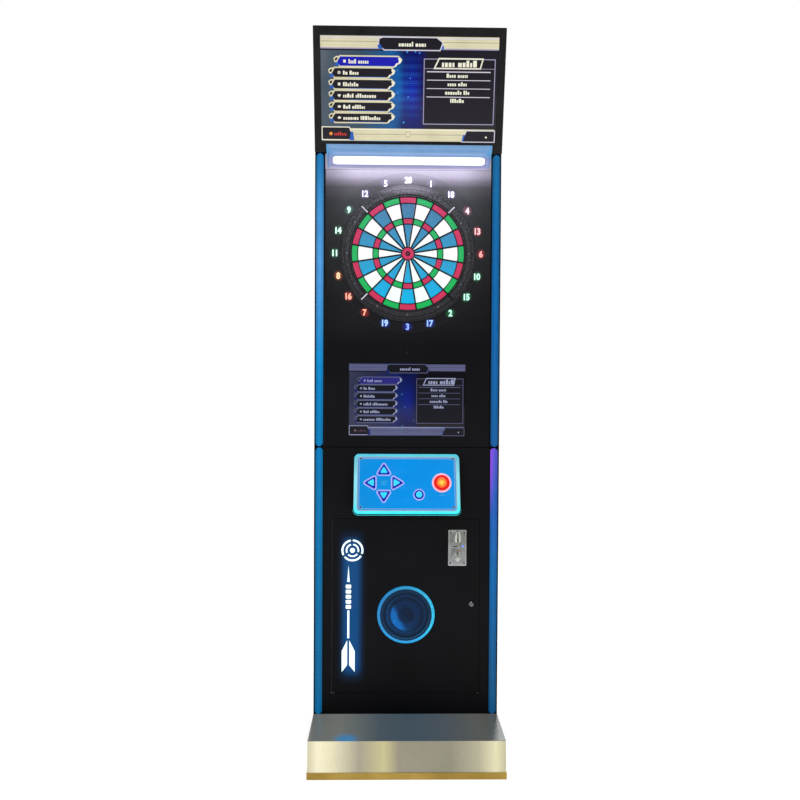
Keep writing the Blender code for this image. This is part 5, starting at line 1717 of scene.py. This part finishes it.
# ------------------------------------------------------------------ base
def dress_base_cover():
    low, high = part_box("base_cover")
    steel = Look("base_stainless", metallic=1.0)
    lines = steel.noise(1.0, 3, steel.stretched(1500, 30, 30))
    cloud = steel.noise(6, 5)
    across = steel.remap(steel.along('X'), low.x, high.x)
    # painted reflections: light and dark bands across the front, where the polished steel mirrors
    # the room
    front = steel.tones(across, (0.0, 214, 208, 176), (0.05, 248, 240, 208),
                        (0.11, 236, 228, 192), (0.26, 172, 166, 146), (0.385, 206, 198, 150),
                        (0.46, 156, 150, 132), (0.72, 150, 146, 128), (0.86, 182, 177, 152),
                        (0.95, 230, 224, 184), (1.0, 196, 190, 158))
    # painted reflections on the top, bluer in the middle
    top = steel.tones(across, (0.0, 118, 120, 116), (0.15, 128, 133, 129), (0.36, 88, 102, 112),
                      (0.52, 77, 96, 110), (0.68, 86, 98, 108), (0.88, 103, 105, 102),
                      (1.0, 92, 94, 91))
    level = steel.remap(steel.along('Z'), high.z - 0.0016, high.z - 0.0003)
    tone = steel.times(steel.remap(lines, 0.3, 0.7, 0.90, 1.07),
                       steel.remap(cloud, 0.3, 0.7, 0.95, 1.03))
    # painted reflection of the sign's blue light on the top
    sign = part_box("sign_lens")
    patch = steel.node("VectorMath", [steel.place(), ((sign[0].x + sign[1].x) / 2 - 0.008,
                                                      low.y + 0.026, high.z)],
                       operation='DISTANCE')
    patch = steel.remap(patch.outputs["Value"], 0.012, 0.052, 0.85, 0.0, smooth=True)
    top = steel.mix(patch, top, rgb(66, 146, 206))
    shown = steel.scaled(steel.mix(level, front, top), tone)
    steel.set(base_color=steel.scaled(shown, steel.remap(level, 0, 1, 0.34, 0.40)),
              roughness=steel.remap(lines, 0.3, 0.7, 0.22, 0.32))
    steel.bump(lines, 0.00006)
    # painted light: the steel is no lamp but glows with its painted reflections
    steel.glow(shown, 0.68)
    dress(steel, "base_cover")


def make_base_trim():
    brass = brushed("base_trim_brass", (180, 152, 78), (156, 128, 60), 'X', 0.30, 1500)
    dress(brass, "base_trim")
    rivets = Piece("base_trim_rivets", "root", "brass_trim")
    low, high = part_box("base_trim")
    height = high.z * 0.52
    for index in range(5):
        x = (index - 2) * high.x * 0.46
        place = at(x, low.y + 0.0012, height) @ about('X', 90)
        rivets.add(turned([(0, 0.0012), (0.0020, 0.0010), (0.0032, 0.0004), (0.0034, 0),
                           (0, 0)], 24), brass, place)
    rivets.finish()


def make_wheels():
    tyre = Look("wheel_tyre", specular_ior_level=0.3)
    tread = tyre.noise(300, 3)
    tyre.set(base_color=tyre.tones(tread, (0.3, 22, 22, 23), (0.7, 40, 40, 42)),
             roughness=tyre.remap(tread, 0.3, 0.7, 0.6, 0.8))
    tyre.bump(tread, 0.0002)
    hub_look = coated("wheel_hub", (150, 150, 152), (172, 172, 175), 0.4, specular=0.5)
    axle = brushed("axle_steel", (176, 176, 178), (140, 140, 144), 'X')
    dress(axle, "wheel_axle")
    for name in ("wheel_left", "wheel_right"):
        low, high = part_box(name)
        radius = (high.z - low.z) / 2
        half = (high.x - low.x) / 2
        level = at(*middle(name)) @ about('Y', 90)
        rim = radius * 0.66
        bore = 0.0053
        wheel = Piece(name + "_roller", name, "wheel_rubber", [name])
        tread_profile = [(rim, -half * 0.86), (rim, half * 0.86), (radius * 0.90, half),
                         (radius * 0.97, half * 0.82), (radius, half * 0.45),
                         (radius * 0.985, half * 0.12), (radius * 0.985, -half * 0.12),
                         (radius, -half * 0.45), (radius * 0.97, -half * 0.82),
                         (radius * 0.90, -half)]
        wheel.add(turned(tread_profile, 56, ring=True), tyre, level)
        hub = [(rim - 0.0001, half * 0.80), (rim - 0.0001, -half * 0.80),
               (rim * 0.86, -half * 0.80), (rim * 0.80, -half * 0.35),
               (bore + 0.0040, -half * 0.35), (bore + 0.0034, -half * 0.95),
               (bore, -half * 0.95), (bore, half * 0.95), (bore + 0.0034, half * 0.95),
               (bore + 0.0040, half * 0.35), (rim * 0.80, half * 0.35),
               (rim * 0.86, half * 0.80)]
        wheel.add(turned(hub, 48, ring=True), hub_look, level)
        for index in range(5):
            spoke = level @ Matrix.Rotation(math.tau * index / 5, 4, 'Z')
            wheel.add(block((bore + 0.0036, -0.0012, -half * 0.70),
                            (rim * 0.84, 0.0012, half * 0.70), 0.0004), hub_look, spoke)
        wheel.finish()


# ------------------------------------------------------------------ rear and sides
def make_rear():
    zinc = brushed("rear_screws", (150, 150, 154), (116, 116, 122), 'X')
    low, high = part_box("rear_panel")
    rear = facing_rear(high.y)
    screws = Piece("rear_panel_screws", "root", "zinc")
    rows = 7
    for index in range(rows):
        z = low.z + 0.045 + (high.z - low.z - 0.07) * index / (rows - 1)
        for side in (-1, 1):
            add_screw(screws, zinc, rear @ at(side * (high.x - 0.012), z, -0.0001, 30 * index),
                      0.0038, 0.0018)
    for x in (-0.15, 0.15):
        add_screw(screws, zinc, rear @ at(x, high.z - 0.012, -0.0001), 0.0038, 0.0018)
    screws.finish()

    p_low, p_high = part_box("power_inlet")
    plastic = coated("inlet_plastic", (18, 18, 20), (28, 28, 30), 0.4, specular=0.4)
    dress(plastic, "power_inlet")
    pin_look = brushed("inlet_pins", (190, 186, 170), (160, 156, 140), 'Y', 0.25)
    spot = ((p_low.x + p_high.x) / 2, (p_low.z + p_high.z) / 2)
    pins = Piece("inlet_contacts", "root", "electronics")
    for x, z in ((-0.0065, -0.002), (0.0065, -0.002), (0.0, 0.0035)):
        pins.add(block((spot[0] + x - 0.0010, high.y - 0.0165, spot[1] + z - 0.0022),
                       (spot[0] + x + 0.0010, high.y - 0.0020, spot[1] + z + 0.0022),
                       0.0004), pin_look)
    for side in (-1, 1):
        place = rear @ at(-spot[0] + side * 0.0195, spot[1], 0.0022)
        add_screw(pins, zinc, place, 0.0020, 0.0003)
    pins.finish()

    plate = Piece("rating_plate", "root", "zinc")
    foil = brushed("rating_foil", (190, 190, 188), (170, 170, 168), 'X', 0.35)
    plate.add(pad(-0.10, 0.130, 0.070, 0.036, -0.0001, 0.0004, 0.003, 0.0001), foil, rear)
    plate.finish()


def make_heel_cover():
    """Sloping sheet between the wheels, from the base plate up to the rear panel."""
    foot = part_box("base_plate")[1]
    rear_low, rear_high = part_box("rear_panel")
    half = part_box("wheel_right")[0].x - 0.004
    run = Vector((rear_high.y - foot.y - 0.003, rear_low.z + 0.001 - foot.z))
    slope = math.atan2(run.y, run.x)
    start = at(0, foot.y, foot.z + 0.0008) @ Matrix.Rotation(slope, 4, 'X')
    sheet = coated("heel_steel", (20, 20, 22), (30, 30, 33), 0.5)
    cover = Piece("heel_cover", "root", "cabinet_steel")
    cover.add(block((-half, 0, 0), (half, run.length, 0.0010), 0.0002), sheet, start)
    cover.finish()


def make_door_stop():
    """Strip behind the service door's gap, with room for the lock's cam to turn."""
    low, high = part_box("service_door")
    lap = 0.008
    reach = 0.007
    lock_z = middle("lock_barrel").z
    room = 0.037
    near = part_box("service_door")[1].y - PANEL_Y + 0.0008
    foam = coated("door_stop_foam", (8, 8, 9), (13, 13, 15), 0.8, 500, specular=0.05)
    left, right = low.x - lap, high.x + lap
    bottom, top = low.z - lap, high.z + lap
    bars = [(left, bottom, low.x + reach, top), (low.x + reach, bottom, right, low.z + reach),
            (low.x + reach, high.z - reach, right, top),
            (high.x - reach, low.z + reach, right, lock_z - room),
            (high.x - reach, lock_z + room, right, high.z - reach)]
    stop = Piece("service_door_stop", "root", "cabinet_steel")
    for bar in bars:
        stop.add(flat([rectangle(*bar)], -near - 0.0030, -near, 0.0003), foam, FRONTAL)
    stop.finish()


def make_side_screws():
    zinc = brushed("side_screws", (70, 70, 74), (50, 50, 54), 'Z', 0.35)
    low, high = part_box("side_panel_right")
    piece = Piece("side_screws", "root", "cabinet_steel")
    rows = 5
    for side in (-1, 1):
        for index in range(rows):
            z = low.z + 0.12 + (high.z - low.z - 0.20) * index / (rows - 1)
            for y in (high.y - 0.014, PANEL_Y + 0.060):
                spot = at(side * (high.x - 0.0001), y, z) @ about('Y', side * 90)
                add_screw(piece, zinc, spot, 0.0038, 0.0014)
    piece.finish()


# ------------------------------------------------------------------ inside the cabinet
def vents(piece, look, place, width, rows, pitch):
    for row in range(rows):
        bar = wire([(-width / 2, 0, 0), (width / 2, 0, 0)], 0.0011, 1)
        piece.add(bar, look, place @ at(0, row * pitch))


def dress_zinc_boxes():
    zinc = Look("zinc_plate", metallic=1.0)
    spangle = zinc.cells(70, output="Color")
    grey = zinc.node("RGBToBW", [spangle]).outputs[0]
    zinc.set(base_color=zinc.tones(grey, (0.0, 150, 154, 158), (1.0, 196, 200, 204)),
             roughness=zinc.remap(grey, 0.0, 1.0, 0.30, 0.45))
    zinc.bump(grey, 0.00004)
    dress(zinc, "coin_box", "power_supply")


def make_contents():
    case = coated("computer_case", (34, 35, 38), (46, 47, 50), 0.45, specular=0.4)
    dress(case, "computer")
    dark = coated("vent_dark", (10, 10, 11), (16, 16, 18), 0.6)
    socket = coated("computer_sockets", (30, 60, 140), (40, 76, 160), 0.4)
    steel = brushed("inner_steel", (176, 178, 180), (140, 142, 146), 'X')
    screw_look = brushed("inner_screws", (190, 190, 190), (150, 150, 150), 'X')

    low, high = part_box("computer")
    piece = Piece("computer_fittings", "root", "electronics")
    front = at((low.x + high.x) / 2, low.y, low.z) @ about('X', 90)
    vents(piece, dark, front @ at(-0.070, 0.018, 0.0002), 0.090, 6, 0.007)
    for index in range(4):
        x = 0.020 + index * 0.024
        piece.add(pad(x, 0.022, 0.016, 0.009, -0.0001, 0.0012, 0.001, 0.0003), steel, front)
        piece.add(pad(x, 0.022, 0.012, 0.005, 0.0011, 0.0015), socket, front)
    top = at((low.x + high.x) / 2, (low.y + high.y) / 2, high.z)
    for reach in (0.010, 0.019, 0.028, 0.037):
        piece.add(turned([(reach + 0.0012, 0.0), (reach - 0.0012, 0.0),
                          (reach - 0.0006, 0.0014), (reach + 0.0006, 0.0014)], 48, ring=True),
                  dark, top @ at(-0.06, 0.0))
    corner_screws(piece, screw_look, top @ at(0, 0, -0.0001),
                  ((high.x - low.x) * 0.46, (high.y - low.y) * 0.45), 0.0030)
    piece.finish()
    make_power_supply(dark, screw_look)
    make_coin_box_handle(steel)


def make_power_supply(dark, screw_look):
    low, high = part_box("power_supply")
    piece = Piece("power_supply_fittings", "root", "electronics")
    top = at((low.x + high.x) / 2, (low.y + high.y) / 2, high.z)
    vents(piece, dark, top @ at(-0.02, -0.035, 0.0), 0.080, 9, 0.0075)
    strip = coated("terminal_block", (22, 22, 24), (32, 32, 34), 0.5)
    piece.add(block((high.x + 0.0002, low.y + 0.012, low.z + 0.006),
                    (high.x + 0.016, high.y - 0.012, low.z + 0.022), 0.001), strip)
    for index in range(7):
        place = at(high.x + 0.009, low.y + 0.020 + index * 0.0115, low.z + 0.0218)
        add_screw(piece, screw_look, place, 0.0028, 0.0012)
    piece.finish()


def make_coin_box_handle(steel):
    low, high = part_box("coin_box")
    piece = Piece("coin_box_handle", "root", "zinc")
    centre_x = (low.x + high.x) / 2
    z = high.z - 0.045
    grip = [(centre_x - 0.040, low.y + 0.0002, z), (centre_x - 0.040, low.y - 0.012, z),
            (centre_x - 0.034, low.y - 0.018, z), (centre_x + 0.034, low.y - 0.018, z),
            (centre_x + 0.040, low.y - 0.012, z), (centre_x + 0.040, low.y + 0.0002, z)]
    piece.add(wire(grip, 0.0028, 3), steel)
    piece.finish()


def dress_hinges():
    steel = brushed("hinge_pins", (60, 60, 64), (44, 44, 48), 'Z', 0.35)
    dress(steel, "upper_hinge_pin", "lower_hinge_pin")


# ------------------------------------------------------------------ stage and camera
def make_camera():
    data = bpy.data.cameras.new("camera")
    data.sensor_width = 36
    data.lens = 35.90
    data.clip_end = 60
    camera = bpy.data.objects.new("camera", data)
    camera.location = (-0.0753, PANEL_Y - 2.8, 1.2916)
    aim = about('Z', -1.031) @ about('X', 88.797) @ about('Z', 0.315)
    camera.rotation_euler = aim.to_euler()
    bpy.context.scene.collection.objects.link(camera)
    bpy.context.scene.camera = camera


def make_light(name, place, target, size, power, colour=(1, 1, 1), width=None):
    data = bpy.data.lights.new(name, 'AREA')
    data.shape = 'RECTANGLE'
    data.size = width or size
    data.size_y = size
    data.energy = power
    data.color = colour
    light = bpy.data.objects.new(name, data)
    light.location = place
    aim = Vector(target) - Vector(place)
    light.rotation_euler = aim.to_track_quat('-Z', 'Y').to_euler()
    bpy.context.scene.collection.objects.link(light)
    return light


def make_stage():
    floor_look = Look("studio_floor", roughness=0.9, specular_ior_level=0.1)
    paper = floor_look.noise(3, 3)
    away = floor_look.node("VectorMath", [floor_look.place()], operation='LENGTH')
    far = floor_look.remap(away.outputs["Value"], 0.8, 3.5, smooth=True)
    shade = floor_look.ramp(paper, (0.3, (0.62, 0.62, 0.62, 1)), (0.7, (0.66, 0.66, 0.66, 1)))
    floor_look.set(base_color=floor_look.mix(far, shade, BLACK))
    floor_look.glow(floor_look.mix(far, (0.66, 0.66, 0.66, 1), WHITE))
    bm = bmesh.new()
    bmesh.ops.create_grid(bm, x_segments=8, y_segments=8, size=14)
    mesh = bpy.data.meshes.new("studio_floor")
    bm.to_mesh(mesh)
    bm.free()
    mesh.materials.append(floor_look.material)
    floor = bpy.data.objects.new("studio_floor", mesh)
    floor.location.z = FLOOR_Z - 0.0005
    bpy.context.scene.collection.objects.link(floor)

    world = bpy.data.worlds.new("studio")
    world.use_nodes = True
    tree = world.node_tree
    seen = tree.nodes.new("ShaderNodeLightPath")
    power = tree.nodes.new("ShaderNodeMapRange")
    power.inputs["To Min"].default_value = 0.22
    power.inputs["To Max"].default_value = 1.0
    background = tree.nodes["Background"]
    background.inputs["Color"].default_value = (1, 1, 1, 1)
    tree.links.new(seen.outputs["Is Camera Ray"], power.inputs["Value"])
    tree.links.new(power.outputs[0], background.inputs["Strength"])
    bpy.context.scene.world = world
    bpy.context.scene.view_settings.view_transform = 'Standard'

    make_light("top_light", (0, -0.6, 5.0), (0, -0.4, 0), 4.0, 150)
    make_light("key_light", (-2.6, -4.2, 3.0), (0, 0, 1.1), 1.6, 26)
    make_light("fill_light", (3.0, -3.6, 2.0), (0, 0, 1.0), 1.6, 14)
    make_light("rear_light", (0.5, 4.5, 3.2), (0, 0, 1.1), 2.2, 90)


def make_board_light():
    """What the tube throws on the board: a strip under the tube, facing down and back."""
    tube = middle("light_tube")
    low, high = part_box("light_tube")
    make_light("tube_light", (0, tube.y, low.z - 0.004), (0, PANEL_Y + 0.02, 1.74),
               0.02, 0.35, (0.90, 0.86, 1.0), width=high.x - low.x)


# ------------------------------------------------------------------ assembly
dress_cabinet()
make_upper_screen()
make_lower_screen()
make_housing()
make_hood()
make_light_pipes()
make_segments()
make_spider()
make_catch_ring()
make_dial()
make_sensor_board()
make_camera_lens()
make_desk_frame()
make_desk_plate()
make_buttons()
make_speaker_halo()
make_grille()
make_driver()
make_coin_parts()
make_coin_selector()
make_lock()
dress_sign()
dress_base_cover()
make_base_trim()
make_wheels()
make_rear()
make_heel_cover()
make_door_stop()
make_side_screws()
dress_zinc_boxes()
make_contents()
dress_hinges()
make_camera()
make_stage()
make_board_light()
